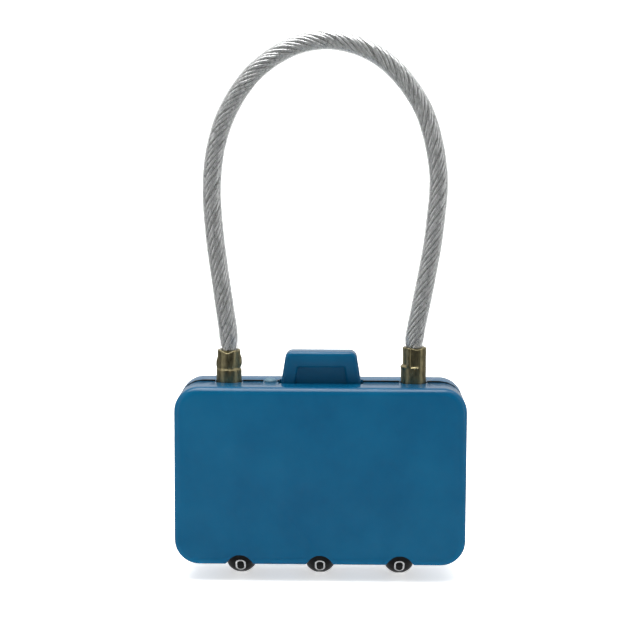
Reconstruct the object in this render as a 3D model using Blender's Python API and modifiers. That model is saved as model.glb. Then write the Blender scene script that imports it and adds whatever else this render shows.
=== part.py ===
"""A three-dial cable padlock in the shape of a small suitcase.

The frame has X across the lock, -Y out of its front face and +Z up towards
the cable loop. The origin is on the centre line, midway between the front and
rear faces, at the height of the lowest point of the dials. Lengths are metres.
"""

import math

import bmesh
import bpy
from mathutils import Matrix, Vector

MM = 0.001

# Driving sizes of the case.
CASE_WIDTH = 42.0 * MM
CASE_HEIGHT = 25.9 * MM
WALL = 1.1 * MM
CORNER_RADIUS = 3.6 * MM
EDGE_RADIUS = 0.7 * MM
SEAM_GAP = 0.4 * MM

# Driving sizes of the dials and their spindle.
DIAL_COUNT = 3
DIAL_RADIUS = 5.3 * MM
DIAL_PITCH = 11.55 * MM
DIAL_WIDTH = 4.2 * MM
DIAL_CROWN = 1.25 * MM
DIAL_DROP = 2.4 * MM
DIAL_CLEARANCE = 0.1 * MM
SLOT_CLEARANCE = 0.15 * MM
NOTCH_HEIGHT = 1.45 * MM
SPINDLE_RADIUS = 0.6 * MM
SLEEVE_WALL = 0.45 * MM
CAM_WIDTH = 2.4 * MM
GATE_WIDTH = 1.0 * MM

# Driving sizes of the cable and its two ends.
ROPE_RADIUS = 1.1 * MM
COAT_WALL = 0.25 * MM
FERRULE_INSET = 7.55 * MM
FERRULE_RADIUS = 1.85 * MM
FERRULE_CRIMP_RADIUS = 1.65 * MM
FERRULE_SEAT = 0.8 * MM
FERRULE_HOLE_GAP = 0.2 * MM
CAPTIVE_FERRULE_HEIGHT = 4.7 * MM
CAPTIVE_STEP_HEIGHT = 1.8 * MM
FREE_FERRULE_HEIGHT = 5.2 * MM
FREE_STEP_HEIGHT = 2.5 * MM
TAIL_RADIUS = 1.5 * MM
TAIL_LENGTH = 9.9 * MM
NECK_RADIUS = 0.9 * MM
NECK_LENGTH = 1.8 * MM
GROOVE_WIDTH = 1.0 * MM
GROOVE_DROP = 6.0 * MM
GROOVE_RADIUS = 0.95 * MM
CLIP_WIRE = 0.35 * MM
CROSS_PIN_RADIUS = 0.5 * MM

# Driving sizes of the release handle and the latch plate.
HANDLE_FOOT_WIDTH = 11.65 * MM
HANDLE_TOP_WIDTH = 9.9 * MM
HANDLE_HEIGHT = 4.6 * MM
HANDLE_DEPTH = 3.8 * MM
HANDLE_CORNER = 1.1 * MM
HANDLE_EDGE = 0.3 * MM
HANDLE_TRAVEL = 2.0 * MM
HANDLE_SLOT_GAP = 0.3 * MM
FLANGE_THICKNESS = 1.2 * MM
FLANGE_RIM = 0.55 * MM
PANEL_FOOT_WIDTH = 7.5 * MM
PANEL_TOP_WIDTH = 6.8 * MM
PANEL_HEIGHT = 2.4 * MM
PANEL_DEPTH = 0.9 * MM
PLATE_THICKNESS = 0.8 * MM
PLATE_HEIGHT = 2.9 * MM
TAB_WIDTH = 4.4 * MM
TAB_INSET = 0.75 * MM
FINGER_WIDTH = 1.6 * MM
WEDGE_WIDTH = 1.0 * MM
WEDGE_REACH = 0.7 * MM
SCREW_RADIUS = 0.5 * MM
SCREW_HEAD_RADIUS = 1.0 * MM
SCREW_HEAD_HEIGHT = 0.6 * MM
SCREW_LENGTH = 2.6 * MM

# Driving sizes of the chassis, the reset button, the springs and the rivets.
CHASSIS_DEPTH = 5.4 * MM
CHASSIS_WALL = 0.9 * MM
TONGUE_RISE = 0.2 * MM
WEB_THICKNESS = 1.0 * MM
WEB_DROP = 6.2 * MM
BLOCK_WIDTH = 3.9 * MM
RESET_RADIUS = 0.95 * MM
RESET_X = -7.4 * MM
RESET_RISE = 0.5 * MM
RESET_FLANGE = 0.3 * MM
RIVET_RADIUS = 0.6 * MM
RIVET_HEAD_RADIUS = 1.1 * MM
RIVET_INSET = 3.65 * MM
RIVET_RISE = 8.0 * MM
RIVET_FLOOR = 1.5 * MM
POST_WALL = 0.65 * MM
DETENT_THICKNESS = 0.3 * MM
DETENT_HEIGHT = 2.4 * MM
DETENT_FINGER_WIDTH = 2.0 * MM
DETENT_FINGER_LENGTH = 2.05 * MM
HANDLE_SPRING_X = 4.2 * MM
HANDLE_SPRING_RADIUS = 1.3 * MM
SPRING_WIRE = 0.22 * MM

# Named clearances.
TIGHT = 0.05 * MM
CLEAR = 0.1 * MM
LOOSE = 0.3 * MM
OVERLAP = 0.4 * MM
BEYOND = 3.0 * MM

# The cable's route, chosen by hand: offsets in mm from the nearer ferrule's
# axis and from the case's top. The first list climbs from the captive end to
# the crown of the loop, and the second comes down to the free end.
CAPTIVE_ROUTE = (
    (0.0, 3.2), (0.0, 5.0), (-0.12, 7.2), (-0.5, 9.9), (-1.2, 14.8), (-1.95, 20.4), (-2.4, 25.4),
    (-2.45, 28.8), (-2.05, 33.0), (-0.95, 37.2), (0.75, 40.8), (3.1, 44.1), (5.9, 46.55),
    (8.8, 48.2), (11.6, 49.05), (14.3, 49.3),
)
FREE_ROUTE = (
    (-9.8, 48.9), (-6.9, 47.9), (-4.1, 46.1), (-1.4, 43.35), (1.05, 39.5), (2.5, 35.2),
    (3.25, 31.0), (3.35, 28.0), (3.15, 25.4), (2.6, 20.4), (1.65, 14.8), (0.72, 9.9),
    (0.28, 7.6), (0.0, 5.6), (0.0, 3.7),
)
ROUTE_STEPS = 2

# Places that follow from the driving sizes.
CASE_DEPTH = 2 * (DIAL_RADIUS + DIAL_CLEARANCE + WALL)
CASE_BOTTOM = DIAL_DROP
CASE_TOP = CASE_BOTTOM + CASE_HEIGHT
FRONT = -CASE_DEPTH / 2
INSIDE_DEPTH = CASE_DEPTH / 2 - WALL
SPINDLE_Z = DIAL_RADIUS
DIAL_PLACES = [(i - (DIAL_COUNT - 1) / 2) * DIAL_PITCH for i in range(DIAL_COUNT)]
FERRULE_X = CASE_WIDTH / 2 - FERRULE_INSET
SLEEVE_BORE = SPINDLE_RADIUS + TIGHT
SLEEVE_RADIUS = SLEEVE_BORE + SLEEVE_WALL
CAM_RADIUS = DIAL_RADIUS - DIAL_DROP - WALL - CLEAR
CAM_START = DIAL_WIDTH / 2 + CLEAR
SLEEVE_START = -DIAL_WIDTH / 2 - CLEAR
CAM_END = CAM_START + CAM_WIDTH
CHASSIS_SIDE = CASE_WIDTH / 2 - WALL - CLEAR
CHASSIS_INSIDE = CHASSIS_SIDE - CHASSIS_WALL
CHASSIS_TOP = CASE_TOP - WALL - CLEAR
CHASSIS_CEILING = CHASSIS_TOP - CHASSIS_WALL
CHASSIS_BOTTOM = CASE_BOTTOM + WALL + CLEAR
TAIL_TOP = CASE_TOP - FERRULE_SEAT - TIGHT
TAIL_BOTTOM = TAIL_TOP - TAIL_LENGTH
GROOVE_Z = TAIL_TOP - GROOVE_DROP
SHELF_TOP = TAIL_BOTTOM - BEYOND - LOOSE
WEB_TOP = CHASSIS_CEILING - WEB_DROP
FLANGE_TOP = CHASSIS_CEILING - CLEAR
FLANGE_BOTTOM = FLANGE_TOP - FLANGE_THICKNESS
TAB_TOP = FLANGE_BOTTOM - CLEAR
PLATE_TOP = TAB_TOP - OVERLAP
PLATE_BOTTOM = PLATE_TOP - PLATE_HEIGHT
PLATE_FRONT = CHASSIS_DEPTH / 2 + 2 * CLEAR
PLATE_BACK = PLATE_FRONT + PLATE_THICKNESS
FOOT_BOTTOM = SPINDLE_Z + CAM_RADIUS + HANDLE_TRAVEL + LOOSE
BLOCK_BOTTOM = GROOVE_Z + CLIP_WIRE + 2 * LOOSE
BLOCK_LEFT = FERRULE_X - BLOCK_WIDTH / 2
WEDGE_X = BLOCK_LEFT - CLEAR - LOOSE - WEDGE_WIDTH / 2
WALL_X = WEDGE_X - WEDGE_WIDTH / 2 - CLEAR - LOOSE - CHASSIS_WALL
COAT_BORE = ROPE_RADIUS + TIGHT
COAT_RADIUS = COAT_BORE + COAT_WALL
RIVET_X = CASE_WIDTH / 2 - RIVET_INSET
UPPER_RIVET_Z = CASE_TOP - RIVET_INSET
LOWER_RIVET_Z = CASE_BOTTOM + RIVET_RISE
POST_RADIUS = RIVET_RADIUS + POST_WALL

ROUND_STEPS = 20
SMALL_STEPS = 16
DIAL_STEPS = 32
CROWN_STEPS = 6
COIL_STEPS = 8
CORNER_STEPS = 5


def start():
    """Clears the scene, and makes a collection for the parts and one for the cutters."""
    for old in list(bpy.data.objects):
        bpy.data.objects.remove(old, do_unlink=True)
    made = []
    for name in ("cable_padlock", "cutters"):
        collection = bpy.data.collections.new(name)
        bpy.context.scene.collection.children.link(collection)
        made.append(collection)
    return made


PARTS, CUTTERS = start()


def material(name, colour, roughness, metallic):
    made = bpy.data.materials.new(name)
    made.use_nodes = True
    shader = made.node_tree.nodes["Principled BSDF"]
    shader.inputs["Base Color"].default_value = (*colour, 1.0)
    shader.inputs["Roughness"].default_value = roughness
    shader.inputs["Metallic"].default_value = metallic
    made.diffuse_color = (*colour, 1.0)
    return made


BLUE = material("painted_zinc", (0.011, 0.107, 0.171), 0.3, 0.0)
BLACK = material("black_plastic", (0.006, 0.006, 0.007), 0.5, 0.0)
GREY_BLUE = material("reset_plastic", (0.10, 0.17, 0.22), 0.45, 0.0)
STEEL = material("bright_steel", (0.55, 0.56, 0.57), 0.3, 1.0)
SPRING_STEEL = material("spring_steel", (0.42, 0.42, 0.43), 0.35, 1.0)
BRONZE = material("plated_ferrule", (0.13, 0.11, 0.065), 0.35, 1.0)
BRASS = material("cam_brass", (0.5, 0.36, 0.12), 0.35, 1.0)
COAT = material("clear_coat", (0.75, 0.77, 0.77), 0.2, 0.0)


def add(name, mesh, finish, at=(0, 0, 0), parent=None):
    """Makes an object of a mesh or curve, in the parts' collection."""
    made = bpy.data.objects.new(name, mesh)
    PARTS.objects.link(made)
    mesh.materials.append(finish)
    place(made, at, parent)
    return made


def place(made, at, parent=None):
    made.parent = parent
    offset = parent.location if parent else Vector((0, 0, 0))
    made.location = Vector(at) - offset


def as_cutter(made):
    """Moves an object to the cutters' collection, as a guide that isn't a part."""
    PARTS.objects.unlink(made)
    CUTTERS.objects.link(made)
    made.hide_render = True
    made.display_type = "WIRE"
    return made


def carrier(name, at):
    """An empty on a joint's axis, which carries a moving group."""
    made = bpy.data.objects.new(name, None)
    made.location = at
    PARTS.objects.link(made)
    return made


def boolean(target, other, operation):
    step = target.modifiers.new(other.name, "BOOLEAN")
    step.operation = operation
    step.object = other
    step.solver = "EXACT"


def cut(target, *cutters):
    for cutter in cutters:
        boolean(target, cutter, "DIFFERENCE")


def join(target, *pieces):
    for piece in pieces:
        boolean(target, piece, "UNION")


def box_mesh(name, low, high, at):
    """A box between two corners, as a mesh whose own zero is at the given place."""
    work = bmesh.new()
    bmesh.ops.create_cube(work, size=1.0)
    low, high, at = Vector(low), Vector(high), Vector(at)
    size = high - low
    bmesh.ops.scale(work, vec=size, verts=work.verts)
    bmesh.ops.translate(work, vec=(low + high) / 2 - at, verts=work.verts)
    return finish_mesh(name, work)


def finish_mesh(name, work):
    bmesh.ops.recalc_face_normals(work, faces=work.faces)
    mesh = bpy.data.meshes.new(name)
    work.to_mesh(mesh)
    work.free()
    return mesh


def box(name, low, high, finish=BLACK, at=None, parent=None):
    at = at or (Vector(low) + Vector(high)) / 2
    return add(name, box_mesh(name, low, high, at), finish, at, parent)


def box_cutter(name, low, high):
    return as_cutter(box(name, low, high))


def rounded_block(name, width, low_z, high_z, low_y, high_y, corner, edge=0.0):
    """A block with round corners seen from the front, and round edges at its outer face."""
    at = Vector((0, 0, (low_z + high_z) / 2))
    work = bmesh.new()
    bmesh.ops.create_cube(work, size=1.0)
    size = Vector((width, high_y - low_y, high_z - low_z))
    bmesh.ops.scale(work, vec=size, verts=work.verts)
    bmesh.ops.translate(work, vec=(0, (low_y + high_y) / 2, 0), verts=work.verts)
    along = [e for e in work.edges if abs(e.verts[0].co.y - e.verts[1].co.y) > size.y / 2]
    bmesh.ops.bevel(
        work, geom=along, offset=corner, segments=CORNER_STEPS, profile=0.5, affect="EDGES"
    )
    if edge:
        outer = low_y if abs(low_y) > abs(high_y) else high_y
        rim = [e for e in work.edges if all(abs(v.co.y - outer) < TIGHT / 10 for v in e.verts)]
        bmesh.ops.bevel(work, geom=rim, offset=edge, segments=3, profile=0.5, affect="EDGES")
    return add(name, finish_mesh(name, work), BLUE, at)


def rod_mesh(name, radius, length, axis, steps=ROUND_STEPS):
    """A cylinder centred on its own zero, along X, Y or Z."""
    work = bmesh.new()
    bmesh.ops.create_cone(
        work, cap_ends=True, segments=steps, radius1=radius, radius2=radius, depth=length
    )
    turn = {"X": Matrix.Rotation(math.pi / 2, 3, "Y"), "Y": Matrix.Rotation(math.pi / 2, 3, "X")}
    if axis in turn:
        bmesh.ops.rotate(work, matrix=turn[axis], verts=work.verts)
    return finish_mesh(name, work)


def rod(name, radius, start_at, end_at, finish=BLACK):
    """A cylinder between two places that differ along one axis."""
    start_at, end_at = Vector(start_at), Vector(end_at)
    span = end_at - start_at
    axis = "XYZ"[max(range(3), key=lambda i: abs(span[i]))]
    mesh = rod_mesh(name, radius, span.length, axis)
    return add(name, mesh, finish, (start_at + end_at) / 2)


def rod_cutter(name, radius, start_at, end_at):
    return as_cutter(rod(name, radius, start_at, end_at))


def turned(name, profile, finish, at, along_x=False, parent=None, steps=ROUND_STEPS):
    """A turned piece: (radius, height) points down its outer side, then up its bore.

    A profile that starts and ends on the axis is solid, and any other is a ring.
    """
    mesh = bpy.data.meshes.new(name)
    points = [(r, 0, z) for r, z in profile]
    links = [(i, i + 1) for i in range(len(points) - 1)]
    solid = profile[0][0] == 0 and profile[-1][0] == 0
    if not solid:
        links.append((len(points) - 1, 0))
    mesh.from_pydata(points, links, [])
    made = add(name, mesh, finish, at, parent)
    screw = made.modifiers.new("turn", "SCREW")
    screw.axis = "Z"
    screw.steps = steps
    screw.render_steps = steps
    screw.use_merge_vertices = True
    screw.merge_threshold = 0.000001
    if along_x:
        made.rotation_euler = (0, math.pi / 2, 0)
    return made


def wire(name, points, radius, finish, at=(0, 0, 0), parent=None):
    """A round wire through points, which are given from the piece's own zero."""
    curve = bpy.data.curves.new(name, "CURVE")
    curve.dimensions = "3D"
    curve.bevel_depth = radius
    curve.bevel_resolution = 2
    curve.use_fill_caps = True
    line = curve.splines.new("POLY")
    line.points.add(len(points) - 1)
    for point, place_at in zip(line.points, points):
        point.co = (*place_at, 1)
    return add(name, curve, finish, at, parent)


def coil(name, radius, wire_radius, turns, at, length, axis="Z", finish=SPRING_STEEL):
    """A compression spring that starts at the given place and runs along +X or +Z."""
    count = int(turns * COIL_STEPS)
    run = length - 2 * wire_radius
    points = []
    for i in range(count + 1):
        angle = 2 * math.pi * i / COIL_STEPS
        across = (radius * math.cos(angle), radius * math.sin(angle))
        along = wire_radius + run * i / count
        points.append((*across, along) if axis == "Z" else (along, *across))
    return wire(name, points, wire_radius, finish, at)


def meshed(curve_object):
    """The mesh of a curve object, with its caps welded, in place of the curve."""
    bpy.context.view_layer.update()
    graph = bpy.context.evaluated_depsgraph_get()
    mesh = bpy.data.meshes.new_from_object(curve_object.evaluated_get(graph))
    work = bmesh.new()
    work.from_mesh(mesh)
    bmesh.ops.remove_doubles(work, verts=work.verts, dist=0.000001)
    work.to_mesh(mesh)
    work.free()
    name = curve_object.name
    home = curve_object.users_collection[0]
    made = bpy.data.objects.new(name + "_mesh", mesh)
    home.objects.link(made)
    made.matrix_world = curve_object.matrix_world
    bpy.data.objects.remove(curve_object, do_unlink=True)
    made.name = name
    return made


def outline_plate(name, outline, low_y, high_y, finish, at=(0, 0, 0), bevel=0.0):
    """A flat plate with an XZ outline, between two depths, with round edges if asked."""
    curve = bpy.data.curves.new(name, "CURVE")
    curve.dimensions = "2D"
    curve.fill_mode = "BOTH"
    curve.extrude = (high_y - low_y) / 2 - bevel
    curve.bevel_depth = bevel
    curve.bevel_resolution = 1
    curve.offset = -bevel
    line = curve.splines.new("POLY")
    line.points.add(len(outline) - 1)
    for point, (x, z) in zip(line.points, outline):
        point.co = (x - at[0], z - at[2], 0, 1)
    line.use_cyclic_u = True
    made = add(name, curve, finish, (at[0], (low_y + high_y) / 2, at[2]))
    made.rotation_euler = (math.pi / 2, 0, 0)
    return meshed(made)


def arc(centre, radius, start_deg, end_deg, steps=CORNER_STEPS):
    """Points along an arc in the XZ plane."""
    points = []
    for i in range(steps + 1):
        angle = math.radians(start_deg + (end_deg - start_deg) * i / steps)
        points.append((centre[0] + radius * math.cos(angle), centre[1] + radius * math.sin(angle)))
    return points


def shell_cutters():
    """The holes that both halves of the case and the chassis share along the seam."""
    top = CASE_TOP + BEYOND
    seat = CHASSIS_TOP + TIGHT
    made = []
    for side, x in (("left", -FERRULE_X), ("right", FERRULE_X)):
        radius = FERRULE_RADIUS + FERRULE_HOLE_GAP
        made.append(rod_cutter("ferrule_hole_" + side, radius, (x, 0, seat), (x, 0, top)))
    half = HANDLE_FOOT_WIDTH / 2 + HANDLE_SLOT_GAP
    deep = HANDLE_DEPTH / 2 + HANDLE_SLOT_GAP
    low = CHASSIS_CEILING - LOOSE
    made.append(box_cutter("handle_slot", (-half, -deep, low), (half, deep, top)))
    hole = RESET_RADIUS + CLEAR
    made.append(rod_cutter("reset_hole", hole, (RESET_X, 0, low), (RESET_X, 0, top)))
    return made


def dial_cutters():
    """For each dial, a slot through the case's floor and an arch through its faces."""
    half = DIAL_WIDTH / 2 + SLOT_CLEARANCE
    radius = (half**2 + NOTCH_HEIGHT**2) / (2 * NOTCH_HEIGHT)
    arch_z = CASE_BOTTOM + NOTCH_HEIGHT - radius
    made = []
    for i, x in enumerate(DIAL_PLACES, 1):
        low = (x - half, -INSIDE_DEPTH, CASE_BOTTOM - BEYOND)
        high = (x + half, INSIDE_DEPTH, CASE_BOTTOM + WALL + CLEAR)
        made.append(box_cutter(f"dial_slot_{i}", low, high))
        ends = (x, FRONT - BEYOND, arch_z), (x, -FRONT + BEYOND, arch_z)
        made.append(rod_cutter(f"dial_arch_{i}", radius, *ends))
    return made


def rivet_places():
    return [(x, z) for z in (UPPER_RIVET_Z, LOWER_RIVET_Z) for x in (-RIVET_X, RIVET_X)]


def case_half(name, side, openings):
    """One die-cast half of the case, with its rivet posts. Side is -1 in front, 1 behind."""
    seam = side * SEAM_GAP / 2
    outside = side * CASE_DEPTH / 2
    inside = side * INSIDE_DEPTH
    low, high = sorted((seam, outside))
    half = rounded_block(
        name, CASE_WIDTH, CASE_BOTTOM, CASE_TOP, low, high, CORNER_RADIUS, EDGE_RADIUS
    )
    low, high = sorted((-side * BEYOND, inside))
    hollow = rounded_block(
        name + "_hollow", CASE_WIDTH - 2 * WALL, CASE_BOTTOM + WALL, CASE_TOP - WALL,
        low, high, CORNER_RADIUS - WALL,
    )
    cut(half, as_cutter(hollow))
    for n, (x, z) in enumerate(rivet_places(), 1):
        root = inside + side * OVERLAP
        post = rod(f"{name}_post_{n}", POST_RADIUS, (x, seam, z), (x, root, z))
        join(half, as_cutter(post))
        hole = RIVET_RADIUS + TIGHT
        end = outside + BEYOND if side > 0 else inside + RIVET_FLOOR
        ends = (x, seam - side * BEYOND, z), (x, end, z)
        cut(half, rod_cutter(f"{name}_rivet_hole_{n}", hole, *ends))
        if side > 0:
            sink = outside - RIVET_HEAD_RADIUS
            ends = (x, sink, z), (x, outside + BEYOND, z)
            radius = RIVET_HEAD_RADIUS + TIGHT
            cut(half, rod_cutter(f"{name}_rivet_seat_{n}", radius, *ends))
    cut(half, *openings)
    return half


def case_rivets():
    """Four rivets, peened over in the rear half's countersinks."""
    tip = -INSIDE_DEPTH + RIVET_FLOOR + LOOSE
    back = CASE_DEPTH / 2
    sink = back - RIVET_HEAD_RADIUS + TIGHT
    dome = RIVET_HEAD_RADIUS - LOOSE
    for n, (x, z) in enumerate(rivet_places(), 1):
        profile = [
            (0, back - CLEAR), (dome, back - LOOSE), (RIVET_HEAD_RADIUS, back - 2 * LOOSE),
            (RIVET_HEAD_RADIUS, sink), (RIVET_RADIUS, sink), (RIVET_RADIUS, tip), (0, tip),
        ]
        made = turned(f"case_rivet_{n}", profile, STEEL, (x, 0, z), steps=SMALL_STEPS)
        made.rotation_euler = (-math.pi / 2, 0, 0)


def chassis(openings):
    """The black moulded frame between the two halves, which carries everything inside."""
    deep = CHASSIS_DEPTH / 2
    corner = CORNER_RADIUS - WALL - CLEAR
    frame = rounded_block(
        "chassis", 2 * CHASSIS_SIDE, CHASSIS_BOTTOM, CHASSIS_TOP, -deep, deep, corner
    )
    frame.data.materials.clear()
    frame.data.materials.append(BLACK)
    thin = SEAM_GAP / 2 - TIGHT
    tongue = rounded_block(
        "chassis_tongue", CASE_WIDTH - 2 * CLEAR, CHASSIS_BOTTOM, CASE_TOP + TONGUE_RISE,
        -thin, thin, CORNER_RADIUS,
    )
    join(frame, as_cutter(tongue))
    room = rounded_block(
        "chassis_room", 2 * CHASSIS_INSIDE, CHASSIS_BOTTOM - BEYOND, CHASSIS_CEILING,
        -2 * deep, 2 * deep, corner - CHASSIS_WALL,
    )
    cut(frame, as_cutter(room))
    block = BLOCK_WIDTH / 2
    ceiling = CHASSIS_CEILING + OVERLAP
    side = CHASSIS_INSIDE + OVERLAP
    shelf = SHELF_TOP - WEB_THICKNESS
    web = WEB_TOP - WEB_THICKNESS
    inner = WALL_X + CHASSIS_WALL
    for name, low, high in (
        ("captive_block", (-FERRULE_X - block, web), (-FERRULE_X + block, ceiling)),
        ("free_block", (FERRULE_X - block, BLOCK_BOTTOM), (FERRULE_X + block, ceiling)),
        ("web", (-FERRULE_X + block - OVERLAP, web), (inner, WEB_TOP)),
        ("inner_wall", (WALL_X, shelf), (inner, ceiling)),
        ("free_shelf", (WALL_X, shelf), (side, SHELF_TOP)),
        ("captive_shelf", (-side, shelf), (-FERRULE_X + block, SHELF_TOP)),
    ):
        low, high = (low[0], -deep, low[1]), (high[0], deep, high[1])
        join(frame, box_cutter("chassis_" + name, low, high))
    bore = TAIL_RADIUS + CLEAR
    for name, x, low in (
        ("captive_bore", -FERRULE_X, web - BEYOND), ("free_bore", FERRULE_X, BLOCK_BOTTOM - LOOSE)
    ):
        cut(frame, rod_cutter(name, bore, (x, 0, low), (x, 0, CASE_TOP)))
    wide = CASE_WIDTH / 2 - 2 * CLEAR
    hole = SPINDLE_RADIUS + TIGHT
    ends = (-wide, 0, SPINDLE_Z), (wide, 0, SPINDLE_Z)
    cut(frame, rod_cutter("spindle_holes", hole, *ends))
    z = captive_pin_z()
    ends = (-FERRULE_X, -deep - BEYOND, z), (-FERRULE_X, deep + BEYOND, z)
    cross = rod_cutter("cross_pin_hole", CROSS_PIN_RADIUS + TIGHT, *ends)
    cut(frame, cross)
    cut(frame, *openings)
    return cross


def captive_pin_z():
    return (WEB_TOP + CHASSIS_CEILING) / 2


def dial(i, x):
    """A barrel-shaped number wheel, bored for its cam sleeve."""
    half = DIAL_WIDTH / 2
    ball = (half**2 + DIAL_CROWN**2) / (2 * DIAL_CROWN)
    centre = DIAL_RADIUS - ball
    crown = []
    for n in range(CROWN_STEPS + 1):
        z = half - DIAL_WIDTH * n / CROWN_STEPS
        crown.append((centre + math.sqrt(ball**2 - z**2), z))
    bore = SLEEVE_RADIUS + TIGHT
    profile = crown + [(bore, -half), (bore, half)]
    at = (x, 0, SPINDLE_Z)
    turned(f"dial_{i}", profile, BLACK, at, along_x=True, steps=DIAL_STEPS)


def cam_sleeve(i, x):
    """The sleeve in a dial, with a cam disc whose gate lets the latch finger drop."""
    profile = [
        (CAM_RADIUS, CAM_END), (CAM_RADIUS, CAM_START), (SLEEVE_RADIUS, CAM_START),
        (SLEEVE_RADIUS, SLEEVE_START), (SLEEVE_BORE, SLEEVE_START), (SLEEVE_BORE, CAM_END),
    ]
    at = (x, 0, SPINDLE_Z)
    sleeve = turned(f"cam_sleeve_{i}", profile, BRASS, at, along_x=True)
    half = GATE_WIDTH / 2
    low = (x + CAM_START + LOOSE, -half, SPINDLE_Z + SLEEVE_RADIUS - CLEAR)
    high = (x + CAM_END + LOOSE, half, SPINDLE_Z + CAM_RADIUS + LOOSE)
    cut(sleeve, box_cutter(f"cam_gate_{i}", low, high))


def spindle_group():
    """The steel spindle, the spacers between the dials and the spring at its end."""
    end = CHASSIS_SIDE - CLEAR
    rod("spindle", SPINDLE_RADIUS, (-end, 0, SPINDLE_Z), (end, 0, SPINDLE_Z), STEEL)
    starts = [x + CAM_END + TIGHT for x in DIAL_PLACES]
    ends = [x + SLEEVE_START - TIGHT for x in DIAL_PLACES[1:]] + [CHASSIS_INSIDE - TIGHT]
    for i, (low, high) in enumerate(zip(starts, ends), 1):
        profile = [
            (SLEEVE_RADIUS, high - low), (SLEEVE_RADIUS, 0), (SLEEVE_BORE, 0),
            (SLEEVE_BORE, high - low),
        ]
        turned(f"spindle_spacer_{i}", profile, STEEL, (low, 0, SPINDLE_Z), along_x=True, steps=SMALL_STEPS)
    start_at = -CHASSIS_INSIDE + TIGHT
    length = DIAL_PLACES[0] + SLEEVE_START - TIGHT - start_at
    radius = SLEEVE_BORE + SPRING_WIRE + CLEAR
    coil("spindle_spring", radius, SPRING_WIRE, 5, (start_at, 0, SPINDLE_Z), length, axis="X")


def detent_spring():
    """A leaf spring across the front of the chassis, with a finger on each dial."""
    back = -CHASSIS_DEPTH / 2 - CLEAR
    front = back - DETENT_THICKNESS
    wide = CHASSIS_INSIDE - LOOSE
    rim = SPINDLE_Z + math.sqrt(DIAL_RADIUS**2 - back**2) + TIGHT
    bottom = rim + DETENT_FINGER_LENGTH
    low, high = (-wide, front, bottom), (wide, back, bottom + DETENT_HEIGHT)
    strip = box("detent_spring", low, high, SPRING_STEEL)
    half = DETENT_FINGER_WIDTH / 2
    for i, x in enumerate(DIAL_PLACES, 1):
        low, high = (x - half, front, rim), (x + half, back, bottom + OVERLAP)
        join(strip, box_cutter(f"detent_finger_{i}", low, high))


def ferrule(name, x, height, step, parent=None):
    """A crimped tube on the cable's end, wider below its step, bored for rope and tail."""
    foot = CASE_TOP - FERRULE_SEAT
    top = CASE_TOP + height
    ledge = CASE_TOP + step
    floor = foot + NECK_LENGTH
    lip = FERRULE_CRIMP_RADIUS - CLEAR
    neck = NECK_RADIUS + TIGHT
    bore = COAT_BORE
    profile = [
        (lip, top), (FERRULE_CRIMP_RADIUS, top - 2 * CLEAR), (FERRULE_CRIMP_RADIUS, ledge + CLEAR),
        (FERRULE_RADIUS, ledge - CLEAR), (FERRULE_RADIUS, foot), (neck, foot), (neck, floor),
        (bore, floor + CLEAR), (bore, top),
    ]
    turned(name, [(r, z - CASE_TOP) for r, z in profile], BRONZE, (x, 0, CASE_TOP), parent=parent)


def tail_profile(grooved):
    """A tail from the neck in its ferrule down to its coned tip."""
    neck_top = TAIL_TOP + NECK_LENGTH
    points = [(0, neck_top), (NECK_RADIUS, neck_top), (NECK_RADIUS, TAIL_TOP), (TAIL_RADIUS, TAIL_TOP)]
    if grooved:
        high, low = GROOVE_Z + GROOVE_WIDTH / 2, GROOVE_Z - GROOVE_WIDTH / 2
        points += [(TAIL_RADIUS, high), (GROOVE_RADIUS, high), (GROOVE_RADIUS, low), (TAIL_RADIUS, low)]
    cone = TAIL_RADIUS / 2
    points += [(TAIL_RADIUS, TAIL_BOTTOM + cone), (TAIL_RADIUS - cone, TAIL_BOTTOM), (0, TAIL_BOTTOM)]
    return [(r, z - CASE_TOP) for r, z in points]


def cable_ends(cross_pin_hole):
    """The captive end, pinned in the chassis, and the free end that pulls out."""
    x, z = -FERRULE_X, captive_pin_z()
    ferrule("captive_ferrule", x, CAPTIVE_FERRULE_HEIGHT, CAPTIVE_STEP_HEIGHT)
    captive = turned("captive_tail", tail_profile(False), STEEL, (x, 0, CASE_TOP))
    cut(captive, cross_pin_hole)
    deep = CHASSIS_DEPTH / 2 - CLEAR
    rod("captive_cross_pin", CROSS_PIN_RADIUS, (x, -deep, z), (x, deep, z), STEEL)
    free_end = carrier("free_end", (FERRULE_X, 0, CASE_TOP))
    ferrule("free_ferrule", FERRULE_X, FREE_FERRULE_HEIGHT, FREE_STEP_HEIGHT, free_end)
    turned("free_tail", tail_profile(True), STEEL, (FERRULE_X, 0, CASE_TOP), parent=free_end)
    length = TAIL_BOTTOM - SHELF_TOP - 2 * TIGHT
    at = (FERRULE_X, 0, SHELF_TOP + TIGHT)
    coil("ejector_spring", TAIL_RADIUS - LOOSE, SPRING_WIRE, 4, at, length)


def retaining_clip():
    """A wire spring clip, whose two legs sit in the free tail's groove."""
    leg = GROOVE_RADIUS + CLIP_WIRE + TIGHT
    bend_x = CHASSIS_INSIDE - CLEAR - CLIP_WIRE - leg
    tip_x = WEDGE_X - WEDGE_WIDTH / 2 - FERRULE_X
    bend = [(px - FERRULE_X, py, 0) for px, py in arc((bend_x, 0), leg, -90, 90, 8)]
    flare = (tip_x, leg + 2 * LOOSE, 0)
    knee = (tip_x + WEDGE_WIDTH, leg, 0)
    mirror = [(px, -py, 0) for px, py, _ in (flare, knee)]
    points = [*mirror, *bend, knee, flare]
    wire("retaining_clip", points, CLIP_WIRE, SPRING_STEEL, (FERRULE_X, 0, GROOVE_Z))


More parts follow.
